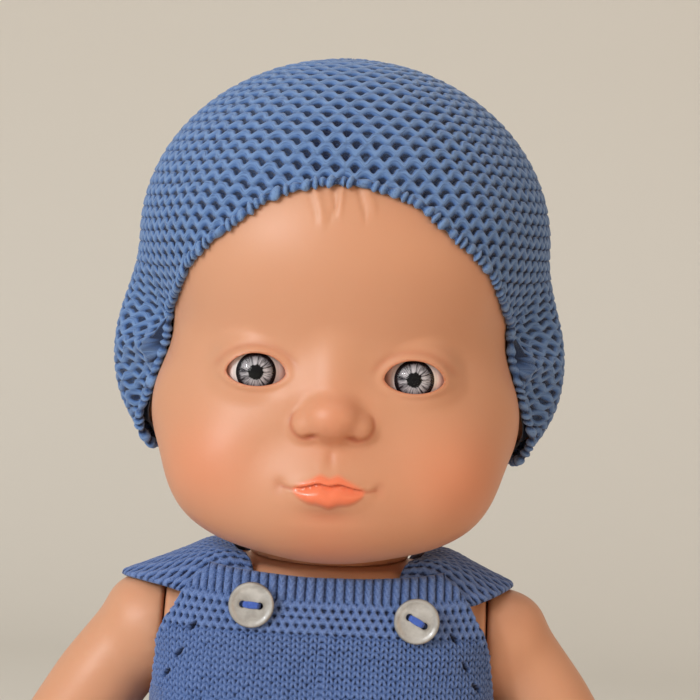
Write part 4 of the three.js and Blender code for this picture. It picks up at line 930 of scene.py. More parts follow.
class BonnetPiece:
    """The garter stitch bonnet, knitted in rings from its edge to the crown."""

    GAUGE = Gauge(stitch=4.3, row=2.65, relief=1.45)
    COLUMNS = 1000
    ROWS = 380
    SECTORS = 5
    COARSE = 5
    BODY = 4.4
    RIM = 1.7
    HUG = 14.0

    EDGE = [
        (1.0, -0.2),
        (0.98, -0.08),
        (0.955, 0.035),
        (0.89, 0.19),
        (0.77, 0.345),
        (0.67, 0.412),
        (0.55, 0.468),
        (0.4, 0.548),
        (0.28, 0.582),
        (0.1, 0.612),
        (0.0, 0.615),
    ]

    def __init__(self, shape: HeadShape, knit: bpy.types.Material) -> None:
        self.shape = shape
        self.knit = knit

    def open_width(self, z: Array) -> Array:
        """Return half the width of the face opening at heights z over the pupils."""
        sizes = self.shape.sizes
        x = np.array([x for x, _ in self.EDGE][::-1]) * sizes.half_width
        height = np.array([h for _, h in self.EDGE][::-1]) * sizes.crown
        return np.interp(z, height[::-1], x[::-1], left=x[-1], right=-1.0)

    def polar(self, theta: Array, longitude: Array, offset: float, rim: float, free: Array | float) -> Array:
        """Return points of a layer of the bonnet in millimetres over the pupils' line.

        Args:
            theta: Angles from the crown.
            longitude: Angles around, with 0 at the front.
            offset: How far the layer stands off the covered ears.
            rim: How far it stands off the bare head at its edge.
            free: From 0 at the edge, where it hugs the head, to 1.
        """
        ways = directions(math.pi / 2 - theta.ravel(), longitude.ravel())
        cover = self.shape.reach(lambda p: self.shape.skull(p, self.shape.ear_cover), ways) + offset
        bare = self.shape.reach(lambda p: self.shape.skull(p, self.shape.ear), ways) + rim
        share = np.broadcast_to(free, theta.shape).ravel()
        reach = bare + (np.maximum(cover, bare) - bare) * share
        middle = np.array([0.0, 0.0, self.shape.sizes.middle])
        return (middle + ways * reach[:, None]).reshape(*theta.shape, 3)

    def freedom(self, theta: Array, longitude: Array, rim: Array) -> Array:
        """Return how free of the head the knit is, by its distance from the edge.

        Args:
            theta: Rising angles from the crown.
            longitude: Rising angles around.
            rim: Points of the edge in millimetres over the pupils' line.
        """
        few_theta, few_lon = theta[:: self.COARSE], longitude[:: self.COARSE]
        grid_theta, grid_lon = np.meshgrid(few_theta, few_lon, indexing="ij")
        p = self.polar(grid_theta, grid_lon, self.BODY, self.RIM, 0.0)
        away = np.linalg.norm(p[:, :, None] - rim[None, None, :: self.COARSE], axis=3).min(axis=2)
        free = np.maximum(smoothstep(0.0, self.HUG, away), self.flare(p))
        long = np.stack([np.interp(theta, few_theta, column) for column in free.T], axis=1)
        return np.stack([np.interp(longitude, few_lon, row, period=math.tau) for row in long])

    @staticmethod
    def flare(p: Array) -> Array:
        """Return how far the ear flaps stand off the head at points of the bare head."""
        low = smoothstep(-5.0, -16.0, p[..., 2]) * smoothstep(30.0, 44.0, np.abs(p[..., 0]))
        return 0.7 * low * smoothstep(22.0, 8.0, np.abs(p[..., 1] - 1.0))

    def edge_angles(self, longitude: Array) -> Array:
        """Find the polar angle at which the bonnet ends for each longitude."""
        theta = np.linspace(0.5, 2.7, 320)
        grid_theta, grid_lon = np.meshgrid(theta, longitude, indexing="ij")
        p = self.polar(grid_theta, grid_lon, self.BODY, self.RIM, 0.0)
        ear_front = np.interp(p[..., 2], (-19.0, -4.0), (-3.0, -13.5))
        opened = (np.abs(p[..., 0]) < self.open_width(p[..., 2])) & (p[..., 1] < ear_front)
        corner = -0.238 * self.shape.sizes.crown
        nape = -0.17 * self.shape.sizes.crown
        floor = corner + (nape - corner) * np.clip(p[..., 1] / self.shape.sizes.half_depth, 0, 1)
        gone = opened | (p[..., 2] < floor)
        first = np.argmax(gone, axis=0)
        ends = theta[first]
        window = np.hanning(13)
        padded = np.concatenate([ends[-12:], ends, ends[:12]])
        smooth = np.convolve(padded, window / window.sum(), mode="same")[12:-12]
        return np.minimum(smooth, ends + 0.03)

    def build(self) -> list[bpy.types.Object]:
        """Build the knitted shell in sectors with its bound edge and lining."""
        sizes = self.shape.sizes
        longitude = np.arange(self.COLUMNS) * math.tau / self.COLUMNS
        ends = self.edge_angles(longitude)
        hugging = self.polar(ends[None, :], longitude[None, :], self.BODY, self.RIM * 0.8, 0.0)[0]
        flare = self.flare(hugging)[None, :]
        rim = self.polar(ends[None, :], longitude[None, :], self.BODY, self.RIM * 0.8, flare)[0]
        levels = np.linspace(0.008, ends.max(), self.ROWS)
        theta = np.minimum(levels[:, None], ends[None, :])
        lon = np.broadcast_to(longitude[None, :], theta.shape)
        free = np.where(levels[:, None] < ends, self.freedom(levels, longitude, hugging), flare)
        bare = self.polar(theta, lon, self.BODY, self.RIM, free)
        radius = np.hypot(bare[..., 0], bare[..., 1] - 4.0)
        v = theta * 62.0 / self.GAUGE.row
        ridge = np.round(v)
        ring = np.sin(np.clip(ridge * self.GAUGE.row / 62.0, 0.02, 3.0)) * 60.0
        count = np.maximum(np.round(math.tau * ring / self.GAUGE.stitch), 4)
        u = lon / math.tau * count
        height, across = Stitches.garter(u, v)
        gather = smoothstep(16.0, 5.0, radius)
        pleat = 0.5 + 0.5 * np.cos(lon * 16)
        height = height * (1 - 0.5 * gather) + 0.5 * gather * pleat
        outward = bare - np.array([0, 0, sizes.middle])
        outward = outward / np.linalg.norm(outward, axis=-1, keepdims=True)
        points = bare + outward * ((height - 0.75) * self.GAUGE.relief)[..., None]
        points = (points + np.array([0, 0, sizes.eye_line])) * MM
        pieces = []
        width = self.COLUMNS // self.SECTORS
        for turn in range(self.SECTORS):
            columns = np.arange(turn * width, (turn + 1) * width + 1) % self.COLUMNS
            sector = Meshes.grid(f"bonnet_sector_{turn + 1}", points[:, columns], False)
            Meshes.paint(sector, "yarn", height[:, columns].ravel())
            Meshes.trace(sector, u[:, columns], across[:, columns])
            beyond = levels[:-1, None] >= ends[None, columns]
            Meshes.cull(sector, (beyond[:, :-1] & beyond[:, 1:]).ravel())
            pieces.append(sector)
        lining = self.polar(theta[::4, ::5], lon[::4, ::5], 0.9, 0.25, free[::4, ::5])
        lining = (lining + np.array([0, 0, sizes.eye_line])) * MM
        inner = Meshes.grid("bonnet_lining", lining, True, (True, False))
        # The lining gets a low yarn height, so it is painted a dark colour near the painted gap shade.
        Meshes.paint(inner, "yarn", np.full(len(inner.data.vertices), 0.35))
        Meshes.trace(inner, np.zeros(len(inner.data.vertices)), np.zeros(len(inner.data.vertices)))
        pieces.append(inner)
        pieces.append(self.edge(rim))
        for piece in pieces:
            Meshes.smooth(piece)
            piece.data.materials.append(self.knit)
            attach(piece, "head")
        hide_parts("bonnet")
        log.info("bonnet: %d faces", sum(len(p.data.polygons) for p in pieces))
        return pieces

    def edge(self, rim: Array) -> bpy.types.Object:
        """Build the bound edge as a lumpy, uneven cord along the rim."""
        sizes = self.shape.sizes
        around = np.vstack([rim, rim[:1]])
        length = np.concatenate([[0], np.cumsum(np.linalg.norm(np.diff(around, axis=0), axis=1))])
        even = np.linspace(0, length[-1], int(length[-1] / 0.33))[:-1]
        path = np.stack([np.interp(even, length, around[:, k]) for k in range(3)], axis=1)
        middle = np.array([0.0, 0.0, sizes.middle])
        outward = path - middle
        outward /= np.linalg.norm(outward, axis=1, keepdims=True)
        forward = np.roll(path, -1, axis=0) - np.roll(path, 1, axis=0)
        step = np.linalg.norm(np.roll(path, -1, axis=0) - path, axis=1)
        length = np.concatenate([[0], np.cumsum(step)[:-1]])
        forward /= np.linalg.norm(forward, axis=1, keepdims=True)
        across = np.cross(forward, outward)
        count = round(step.sum() / self.GAUGE.row)
        along = length / step.sum() * count
        along += 0.22 * np.sin(along * 1.9) + 0.18 * np.sin(along * 0.83 + 1.0)
        phase = along * math.tau
        sides = 18
        turn = np.arange(sides) * math.tau / sides
        uneven = Stitches.chance(np.round(along), np.zeros_like(along))
        swell = (0.14 + 0.3 * uneven)[:, None] * np.cos(phase[:, None] + 0.8 * np.sin(turn)[None, :])
        lump = 1.0 + swell + 0.07 * np.sin(turn * 3 + phase[:, None] * 0.5)
        thick = 1.1 * lump
        wide = (1.1 + 0.5 * uneven)[:, None] * lump
        ring = (
            path[:, None, :]
            + outward[:, None, :] * (thick * np.cos(turn))[..., None]
            + across[:, None, :] * (wide * np.sin(turn))[..., None]
        )
        ring = (ring + np.array([0, 0, sizes.eye_line])) * MM
        closed = np.concatenate([ring, ring[:1]], axis=0)
        made = Meshes.grid("bonnet_edge", closed, True)
        # Painted highlight on the swelling lumps and painted shade between them, by their swell.
        yarn = np.clip(0.72 + 1.5 * swell, 0.1, 1)
        yarn = np.concatenate([yarn, yarn[:1]], axis=0)
        Meshes.paint(made, "yarn", yarn.ravel())
        fibre = np.concatenate([along, [count]])[:, None] + np.zeros(sides)
        Meshes.trace(made, np.broadcast_to(turn, fibre.shape), fibre)
        bm = bmesh.new()
        bm.from_mesh(made.data)
        bmesh.ops.remove_doubles(bm, verts=bm.verts, dist=1e-6)
        bm.to_mesh(made.data)
        bm.free()
        Meshes.outward(made)
        return made


def hermite(at: Array, knots: Array, values: Array) -> Array:
    """Interpolate values smoothly between knots.

    Args:
        at: Places to look up.
        knots: Rising places of the known values.
        values: The known values.
    """
    slopes = np.gradient(values, knots)
    i = np.clip(np.searchsorted(knots, at, side="right") - 1, 0, len(knots) - 2)
    span = knots[i + 1] - knots[i]
    t = np.clip((at - knots[i]) / span, 0, 1)
    a, b = values[i], values[i + 1]
    ma, mb = slopes[i] * span, slopes[i + 1] * span
    return (
        (2 * t**3 - 3 * t**2 + 1) * a
        + (t**3 - 2 * t**2 + t) * ma
        + (3 * t**2 - 2 * t**3) * b
        + (t**3 - t**2) * mb
    )


@dataclass(frozen=True)
class BodySizes:
    """Sizes of the torso and what it wears, in millimetres, as in the CAD source."""

    width: float = 91.0
    depth: float = 76.0
    seam_height: float = 126.5
    floor: float = 3.2
    knit_gap: float = 0.5
    knit: float = 2.7
    strap: float = 2.4
    shoulder_x: float = 44.0
    shoulder_z: float = 104.0
    shoulder_radius: float = 16.3
    hip_x: float = 38.0
    hip_z: float = 32.0
    hip_radius: float = 22.0
    hip_tilt: float = math.radians(28.0)
    side_seam: float = 6.0
    bib_top: float = 125.4
    bib_sag: float = 1.9
    back_top: float = 101.0


class TorsoShape:
    """The torso as a smooth loft through the CAD source's stations."""

    STATIONS = [
        (0.0, 0.4, 0.55, 0.6, 2.5),
        (0.02, 0.46, 0.66, 0.72, 2.5),
        (0.075, 0.56, 0.84, 0.88, 2.5),
        (0.17, 0.7, 0.95, 0.96, 2.5),
        (0.29, 0.86, 1.02, 0.95, 2.5),
        (0.42, 0.98, 1.06, 0.88, 2.6),
        (0.56, 0.98, 1.01, 0.83, 3.0),
        (0.68, 0.965, 0.92, 0.81, 3.4),
        (0.79, 0.95, 0.82, 0.79, 3.3),
        (0.87, 0.94, 0.73, 0.74, 2.9),
        (0.925, 0.92, 0.67, 0.68, 2.6),
        (0.965, 0.87, 0.62, 0.63, 2.5),
        (0.988, 0.79, 0.6, 0.6, 2.5),
    ]

    def __init__(self, sizes: BodySizes) -> None:
        self.sizes = sizes
        table = np.array([(0.0, 0.0, 0.0, 0.0, 2.5), *self.STATIONS])
        high = sizes.seam_height - sizes.floor
        self.z = sizes.floor + table[:, 0] * high
        self.w = table[:, 1] * sizes.width / 2
        self.f = table[:, 2] * sizes.depth / 2
        self.b = table[:, 3] * sizes.depth / 2
        self.fullness = table[:, 4]
        step = np.hypot(np.diff(self.w), np.diff(self.z))
        self.t = np.concatenate([[0], np.cumsum(step)])

    def path_of(self, z: float, offset: float = 0.0) -> float:
        """Return the length along the profile at which a layer over it reaches a height."""
        t = np.linspace(self.t[1], self.t[-1], 2000)
        front = self.section(t, np.full_like(t, -math.pi / 2), np.full_like(t, offset))
        return float(np.interp(z, np.maximum.accumulate(front[:, 2]), t))

    def section(self, t: Array, turn: Array, offset: Array) -> Array:
        """Return surface points in millimetres.

        Args:
            t: Lengths along the profile from the middle of the seat.
            turn: Angles around, with -90 degrees at the front.
            offset: How far the points stand off the torso.
        """
        small = 0.4
        w, f, b, z = (hermite(t, self.t, values) for values in (self.w, self.f, self.b, self.z))
        dw = hermite(t + small, self.t, self.w) - hermite(t - small, self.t, self.w)
        dz = hermite(t + small, self.t, self.z) - hermite(t - small, self.t, self.z)
        norm = np.maximum(np.hypot(dw, dz), 1e-6)
        out = offset * dz / norm
        rise = -offset * dw / norm
        power = 2 / hermite(t, self.t, self.fullness)
        across = np.sign(np.cos(turn)) * np.abs(np.cos(turn)) ** power
        along = np.sign(np.sin(turn)) * np.abs(np.sin(turn)) ** power
        deep = np.where(along < 0, f, b) + out
        return np.stack([across * (w + out), along * deep, np.maximum(z + rise, 0.0)], axis=-1)


class RomperPanel:
    """One knitted panel of the romper's body, front or back, as a fine grid."""

    STITCH = 2.35
    ROW = 1.75
    RIDGE = 2.3
    EDGE = [(123.5, 32.5), (120.5, 36.4), (116.6, 39.2), (109.0, 43.6), (101.0, 46.2), (95.5, 47.2), (85.0, 47.9), (84.9, 60.0)]
    BACK_EDGE = [(101.0, 36.9), (85.0, 45.6), (84.9, 60.0)]
    EYELETS = [(33.9, 107.2), (37.6, 99.8), (40.8, 94.2), (43.4, 88.4)]

    def __init__(self, shape: TorsoShape, knit: bpy.types.Material, front: bool) -> None:
        self.shape = shape
        self.knit = knit
        self.front = front

    def lift(self, z: Array) -> Array:
        """Return how far the bib stands off to make room for the straps."""
        if not self.front:
            return np.zeros_like(z)
        low = self.shape.sizes.shoulder_z - self.shape.sizes.shoulder_radius * 0.5
        high = self.shape.sizes.shoulder_z + 0.35 * (self.shape.sizes.bib_top - self.shape.sizes.shoulder_z)
        return (self.shape.sizes.strap + 0.3) * smoothstep(low, high, z)

    def row_line(self, t: float) -> tuple[Array, Array]:
        """Return one row's middle surface as points from the centre to its end, and their lengths."""
        sizes = self.shape.sizes
        start = -math.pi / 2 if self.front else math.pi / 2
        turn = start + np.linspace(0, math.pi / 2 + 0.45, 420) * (1 if self.front else -1)
        flat = np.full_like(turn, t)
        z0 = hermite(np.array([t]), self.shape.t, self.shape.z)[0]
        offset = sizes.knit_gap + sizes.knit + self.lift(np.array([z0]))[0]
        p = self.shape.section(flat, turn, np.full_like(turn, offset))
        table = self.EDGE if self.front else self.BACK_EDGE
        heights = [z for z, _ in table][::-1]
        widths = [x for _, x in table][::-1]
        limit = np.interp(p[:, 2], heights, widths, left=99.0)
        way = 1 if self.front else -1
        done = p[:, 0] > limit
        done |= (p[:, 1] - sizes.side_seam) * way > 0
        swing = sizes.shoulder_radius + 0.7 + 1.44 * np.clip(p[:, 0] - sizes.shoulder_x - 1.14, 0, 5.2)
        done |= (np.hypot(p[:, 1], p[:, 2] - sizes.shoulder_z) < swing) & (p[:, 0] > 25)
        axis = np.array([math.cos(sizes.hip_tilt), 0, -math.sin(sizes.hip_tilt)])
        away = p - np.array([sizes.hip_x, 0, sizes.hip_z])
        along = away @ axis
        radial = np.linalg.norm(away - along[:, None] * axis, axis=1)
        done |= ((radial < sizes.hip_radius + 0.8) & (along > -23)) | (along > 0)
        end = max(int(np.argmax(done)), 3) if done.any() else len(turn) - 1
        p = p[: end + 1]
        step = np.linalg.norm(np.diff(p, axis=0), axis=1)
        return turn[: end + 1], np.concatenate([[0], np.cumsum(step)])

    def grid(self, name: str, t_top: float, t_low: float, cell: float) -> bpy.types.Object:
        """Build the part of the panel between two lengths along the profile."""
        sizes = self.shape.sizes
        rows = max(int((t_top - t_low) / cell), 8)
        t = np.linspace(t_top, t_low, rows + 1)
        top = self.top()
        columns = int(118 / cell)
        share = np.linspace(-1, 1, columns + 1)
        turns = np.zeros((rows + 1, columns + 1))
        lengths = np.zeros(rows + 1)
        start = -math.pi / 2 if self.front else math.pi / 2
        for i, place in enumerate(t):
            turn, length = self.row_line(float(place))
            lengths[i] = length[-1]
            turns[i] = np.interp(np.abs(share) * length[-1], length, turn - start)
        ramp = np.abs(share)[None, :] * lengths[:, None]
        signed = turns * np.sign(share)[None, :]
        angle = start + signed
        sag = sizes.bib_sag * (1 - share[None, :] ** 2) * smoothstep(top - 22.0, top, t)[:, None] * (1 if self.front else 0)
        place = t[:, None] - sag
        u = np.sign(share)[None, :] * ramp / self.STITCH
        down = np.broadcast_to(top - t[:, None], angle.shape)
        inset = lengths[:, None] - ramp
        height, hole = self.pattern(u, down, inset, angle, hermite(place, self.shape.t, self.shape.z))
        edge = np.minimum(np.where(place > self.shape.t[1] + 2, inset, 9.0), down)
        round_off = np.sqrt(np.clip(1 - (1 - np.clip(edge / 1.6, 0, 1)) ** 2, 0, 1))
        z0 = hermite(place, self.shape.t, self.shape.z)
        relief = (height - 0.75) * 1.1 * np.clip(edge / 0.8, 0.25, 1) - 2.2 * hole
        offset = sizes.knit_gap + self.lift(z0) + sizes.knit * (0.25 + 0.75 * round_off) + relief
        offset += self.folds(u * self.STITCH, z0)
        p = self.shape.section(place.ravel(), angle.ravel(), offset.ravel())
        made = Meshes.grid(name, p.reshape(*angle.shape, 3) * MM, False)
        Meshes.outward(made)
        # The eyelets get yarn height 0, painted shade inside the holes.
        Meshes.paint(made, "yarn", np.clip(height * (1 - hole), 0, 1).ravel())
        return made

    def folds(self, x: Array, z: Array) -> Array:
        """Return soft waves of the cloth in millimetres."""
        wave = np.sin(x * 0.11 + z * 0.05) * np.cos(z * 0.13 - x * 0.04)
        ripple = np.sin(x * 0.31 + 0.8 * np.sin(z * 0.21)) * np.cos(z * 0.37 + x * 0.09)
        return (0.45 * wave * smoothstep(118, 100, z) + 0.22 * ripple) * smoothstep(8, 25, z)

    def top(self) -> float:
        """Return the length along the profile at which the panel ends."""
        sizes = self.shape.sizes
        if not self.front:
            return self.shape.path_of(sizes.back_top)
        return self.shape.path_of(sizes.bib_top, sizes.knit_gap + sizes.knit + sizes.strap + 0.3)

    def pattern(self, u: Array, down: Array, inset: Array, angle: Array, z: Array) -> tuple[Array, Array]:
        """Return the yarn height and the eyelets, whose mask dents the knit and is painted dark as shade inside the
        holes.

        Args:
            u: Place across in stitches from the middle.
            down: Length below the top edge in millimetres.
            inset: Length from the side edge in millimetres.
            angle: Place around the body, in radians.
            z: Height over the floor in millimetres.
        """
        plain = Stitches.plain(u, down / self.ROW)
        garter, _ = Stitches.garter(u, down / self.RIDGE, 0.2, 0.54)
        rib = Stitches.rib(u * 2 * self.STITCH / 2.5, down / self.ROW)
        if self.front:
            in_rib = smoothstep(6.4, 5.6, down)
            in_garter = smoothstep(15.6, 14.8, down)
        else:
            in_rib = smoothstep(5.0, 4.4, down)
            in_garter = smoothstep(8.0, 7.4, down)
        side = smoothstep(4.0, 3.2, inset) * smoothstep(80, 84, z)
        made = plain + (garter - plain) * np.maximum(in_garter, side)
        made = made + (rib - made) * in_rib
        # Eyelet mask: dents the knit and is painted as shade inside the holes.
        hole = np.zeros_like(made)
        if self.front:
            flat = self.shape.section(self.shape.path_of(z.mean()) + np.zeros(1), angle.ravel(), np.full(angle.size, 3.2))
            x = np.abs(flat[:, 0]).reshape(angle.shape)
            for across, high in self.EYELETS:
                long = (x - across) * -0.62 + (z - high) * 0.78
                wide = (x - across) * 0.78 + (z - high) * 0.62
                hole = np.maximum(hole, bell(np.hypot(long / 1.9, wide / 0.62), 1.0))
        return made, smoothstep(0.3, 0.75, hole)

    def build(self) -> list[bpy.types.Object]:
        """Build the panel, finer where the photograph shows it."""
        body = "front" if self.front else "back"
        top = self.top()
        middle = self.shape.path_of(90.0 if self.front else 84.0)
        upper = self.grid(f"romper_{body}_bib", top, middle, 0.3 if self.front else 0.45)
        lower = self.grid(f"romper_{body}_lower", middle, 0.4, 0.46 if self.front else 0.5)
        for piece in (upper, lower):
            Meshes.smooth(piece)
            piece.data.materials.append(self.knit)
            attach(piece, "torso")
        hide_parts(f"romper_{body}")
        log.info("romper_%s: %d faces", body, len(upper.data.polygons) + len(lower.data.polygons))
        return [upper, lower]


class Moulded:
    """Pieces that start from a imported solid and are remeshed, rounded and given fine relief."""

    @staticmethod
    def remesh(node: str, name: str, voxel: float, rounds: int) -> bpy.types.Object:
        """Copy a solid into a new object with even small faces.

        Args:
            node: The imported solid.
            name: The new object's name.
            voxel: The face size in millimetres.
            rounds: How often the surface is smoothed.
        """
        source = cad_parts[node]
        made = Meshes.link(name, source.data.copy())
        made.data.materials.clear()
        bm = bmesh.new()
        bm.from_mesh(made.data)
        bmesh.ops.remove_doubles(bm, verts=bm.verts, dist=1e-6)
        bm.to_mesh(made.data)
        bm.free()
        for key in list(made.keys()):
            del made[key]
        remesh = made.modifiers.new("remesh", "REMESH")
        remesh.mode = "VOXEL"
        remesh.voxel_size = voxel * MM
        soften = made.modifiers.new("soften", "SMOOTH")
        soften.factor = 0.5
        soften.iterations = rounds
        Meshes.apply(made)
        Meshes.smooth(made)
        return made

    @staticmethod
    def normals(obj: bpy.types.Object) -> Array:
        """Return the vertex normals."""
        flat = np.zeros(len(obj.data.vertices) * 3, np.float32)
        obj.data.vertices.foreach_get("normal", flat)
        return flat.reshape(-1, 3).astype(float)


class LimbPiece:
    """A vinyl arm, leg or torso, rounded from its solid."""

    PLAIN_ROUNDS = 110

    def __init__(self, node: str, body: str, vinyl: bpy.types.Material, voxel: float, rounds: int) -> None:
        self.node = node
        self.body = body
        self.vinyl = vinyl
        self.voxel = voxel
        self.rounds = rounds

    def build(self) -> bpy.types.Object:
        """Build the piece."""
        made = Moulded.remesh(self.node, f"{self.node}_shell", self.voxel, self.rounds)
        if self.node.endswith("arm"):
            self.even(made)
        count = len(made.data.vertices)
        # The limbs carry no blush, lips or painted shade.
        for name in ("blush", "lips", "painted_shade"):
            Meshes.paint(made, name, np.zeros(count))
        made.data.materials.append(self.vinyl)
        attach(made, self.body)
        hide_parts(self.node)
        log.info("%s: %d faces", made.name, len(made.data.polygons))
        return made

    def even(self, made: bpy.types.Object) -> None:
        """Smooth the upper arm further, and leave the hand and the plug as they are."""
        p = Meshes.coordinates(made) / MM
        free = smoothstep(66.0, 78.0, p[:, 2]) * smoothstep(44.6, 47.5, np.abs(p[:, 0]))
        group = made.vertex_groups.new(name="plain")
        for level in np.linspace(0.1, 1.0, 10):
            group.add(np.flatnonzero(np.abs(free - level) <= 0.05).tolist(), float(level), "REPLACE")
        soften = made.modifiers.new("soften", "SMOOTH")
        soften.factor = 0.5
        soften.iterations = self.PLAIN_ROUNDS
        soften.vertex_group = group.name
        Meshes.apply(made)


class StrapPiece:
    """A garter stitch strap whose ridges run outwards over the shoulder."""

    # Rows from the bib over the shoulder to the back, each from the neck to the outer edge, in millimetres.
    ROWS = (
        ((18.5, -30.6, 106.0), (25.0, -29.5, 106.0), (31.0, -27.8, 106.0), (36.3, -24.4, 106.0)),
        ((19.0, -26.6, 119.0), (25.0, -25.6, 118.5), (31.0, -24.0, 117.0), (37.2, -22.6, 115.0)),
        ((20.5, -22.0, 125.6), (27.0, -21.0, 126.2), (33.0, -19.6, 123.6), (41.5, -19.6, 116.6)),
        ((24.5, -12.0, 127.6), (31.0, -11.5, 128.0), (38.5, -11.0, 125.4), (49.0, -12.0, 118.8)),
        ((26.3, 0.0, 128.8), (33.0, 0.0, 129.0), (41.0, 0.0, 125.7), (54.0, -1.0, 120.2)),
        ((25.5, 12.0, 128.9), (32.0, 12.0, 128.8), (39.0, 12.0, 125.3), (49.0, 11.5, 118.8)),
        ((22.5, 21.0, 125.8), (28.5, 21.0, 126.0), (34.5, 20.6, 122.0), (40.5, 20.0, 116.0)),
        ((20.0, 27.8, 117.0), (26.0, 27.3, 116.4), (32.0, 25.8, 113.0), (38.0, 23.8, 109.0)),
        ((18.5, 31.6, 104.0), (25.0, 31.0, 103.0), (31.0, 29.0, 102.0), (37.0, 25.2, 101.5)),
    )
    # How far the outer corner of each strap lies from the rows above: outwards and upwards.
    CORNER = {"left": (-2.4, 1.0), "right": (3.2, -1.0)}
    # The width and length in metres that each strap was knitted to.
    FLAT = {"left": (0.026, 0.083), "right": (0.028, 0.083)}
    THICK = 2.0
    CELL = 0.32
    RIDGE = 2.35
    STITCH = 3.6

    def __init__(self, side: str, knit: bpy.types.Material) -> None:
        self.side = side
        self.knit = knit

    def build(self) -> bpy.types.Object:
        """Build the strap."""
        middle = self.surface()
        rows, columns = middle.shape[:2]
        step = np.linalg.norm(np.diff(middle, axis=0), axis=2).mean(axis=1)
        along = np.concatenate([[0], np.cumsum(step)])[:, None]
        across = np.linspace(0, 1, columns)[None, :]
        width = np.linalg.norm(np.diff(middle, axis=1), axis=2).sum(axis=1)[:, None]
        du = np.gradient(middle, axis=0)
        dv = np.gradient(middle, axis=1)
        normal = np.cross(dv, du)
        normal /= np.linalg.norm(normal, axis=2, keepdims=True)
        normal *= np.sign(normal[rows // 2, columns // 2, 2])
        height, _ = Stitches.garter(across * width / self.STITCH, along / self.RIDGE + 0.0 * across, 0.11, 0.47)
        rim = np.minimum(np.minimum(across, 1 - across) * width, np.minimum(along, along[-1] - along))
        full = np.sqrt(np.clip(1 - (1 - np.clip(rim / 1.1, 0, 1)) ** 2, 0, 1))
        lift = ((height - 0.8) * 0.85 * np.clip(rim / 0.8, 0.3, 1) - (1 - full) * self.THICK * 0.45)[..., None]
        upper = middle + normal * lift
        lower = middle - normal * (self.THICK * (0.5 + 0.5 * full))[..., None]
        ring = np.concatenate([upper, lower[:, ::-1]], axis=1)
        made = Meshes.grid(f"{self.side}_strap_knit", ring * MM, True, (True, True))
        Meshes.outward(made)
        yarn = np.concatenate([height, np.full_like(height, 0.7)], axis=1).ravel()
        Meshes.paint(made, "yarn", np.append(yarn, (0.7, 0.7)))
        Meshes.smooth(made)
        made.data.materials.append(self.knit)
        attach(made, "torso")
        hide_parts(f"{self.side}_strap")
        return made

    def surface(self) -> Array:
        """Return the strap's top surface as a fine grid in millimetres."""
        rows = np.array(self.ROWS)
        out, up = self.CORNER[self.side]
        rows[3:6, 3] += np.outer((0.5, 1.0, 0.5), (out, 0.0, up))
        rows[..., 0] *= 1 if self.side == "left" else -1
        knots = np.concatenate([[0], np.cumsum(np.linalg.norm(np.diff(rows.mean(axis=1), axis=0), axis=1))])
        fine = np.linspace(0, knots[-1], int(knots[-1] / self.CELL) + 1)
        long = np.stack([[hermite(fine, knots, rows[:, j, k]) for k in range(3)] for j in range(4)])
        share = np.linspace(0, 3, int(34 / self.CELL) + 1)
        places = np.arange(4.0)
        wide = [[hermite(share, places, long[:, k, i]) for k in range(3)] for i in range(len(fine))]
        return np.array(wide).transpose(0, 2, 1)


class RomperLegPiece:
    """The knitted leg of the romper with a ribbed cuff."""

    def __init__(self, side: str, knit: bpy.types.Material, sizes: BodySizes) -> None:
        self.side = side
        self.knit = knit
        self.sizes = sizes

    def build(self) -> bpy.types.Object:
        """Build the leg."""
        made = Moulded.remesh(f"{self.side}_romper_leg", f"{self.side}_romper_leg_knit", 0.6, 8)
        p = Meshes.coordinates(made) / MM
        normals = Moulded.normals(made)
        way = 1 if self.side == "left" else -1
        start = np.array([way * 44.0, 0.0, 25.0])
        axis = np.array([way * 0.4, -0.9, -0.14])
        axis /= np.linalg.norm(axis)
        away = p - start
        along = away @ axis
        across = np.cross(axis, [0, 0, 1.0])
        across /= np.linalg.norm(across)
        over = np.cross(across, axis)
        turn = np.arctan2(away @ over, away @ across)
        u = turn * 21.0 / 2.4
        u = turn / math.tau * 54
        plain = Stitches.plain(u, along / 1.75)
        rib = Stitches.rib(turn / math.tau * 104, along / 1.75)
        cuff = smoothstep(24.5, 25.5, along)
        height = plain + (rib - plain) * cuff
        p = p + normals * ((height - 0.85) * 0.7)[:, None]
        p[:, 2] = np.maximum(p[:, 2], 0.2)
        Meshes.move(made, p * MM)
        Meshes.paint(made, "yarn", height)
        made.data.materials.append(self.knit)
        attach(made, f"{self.side}_leg")
        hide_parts(f"{self.side}_romper_leg")
        return made


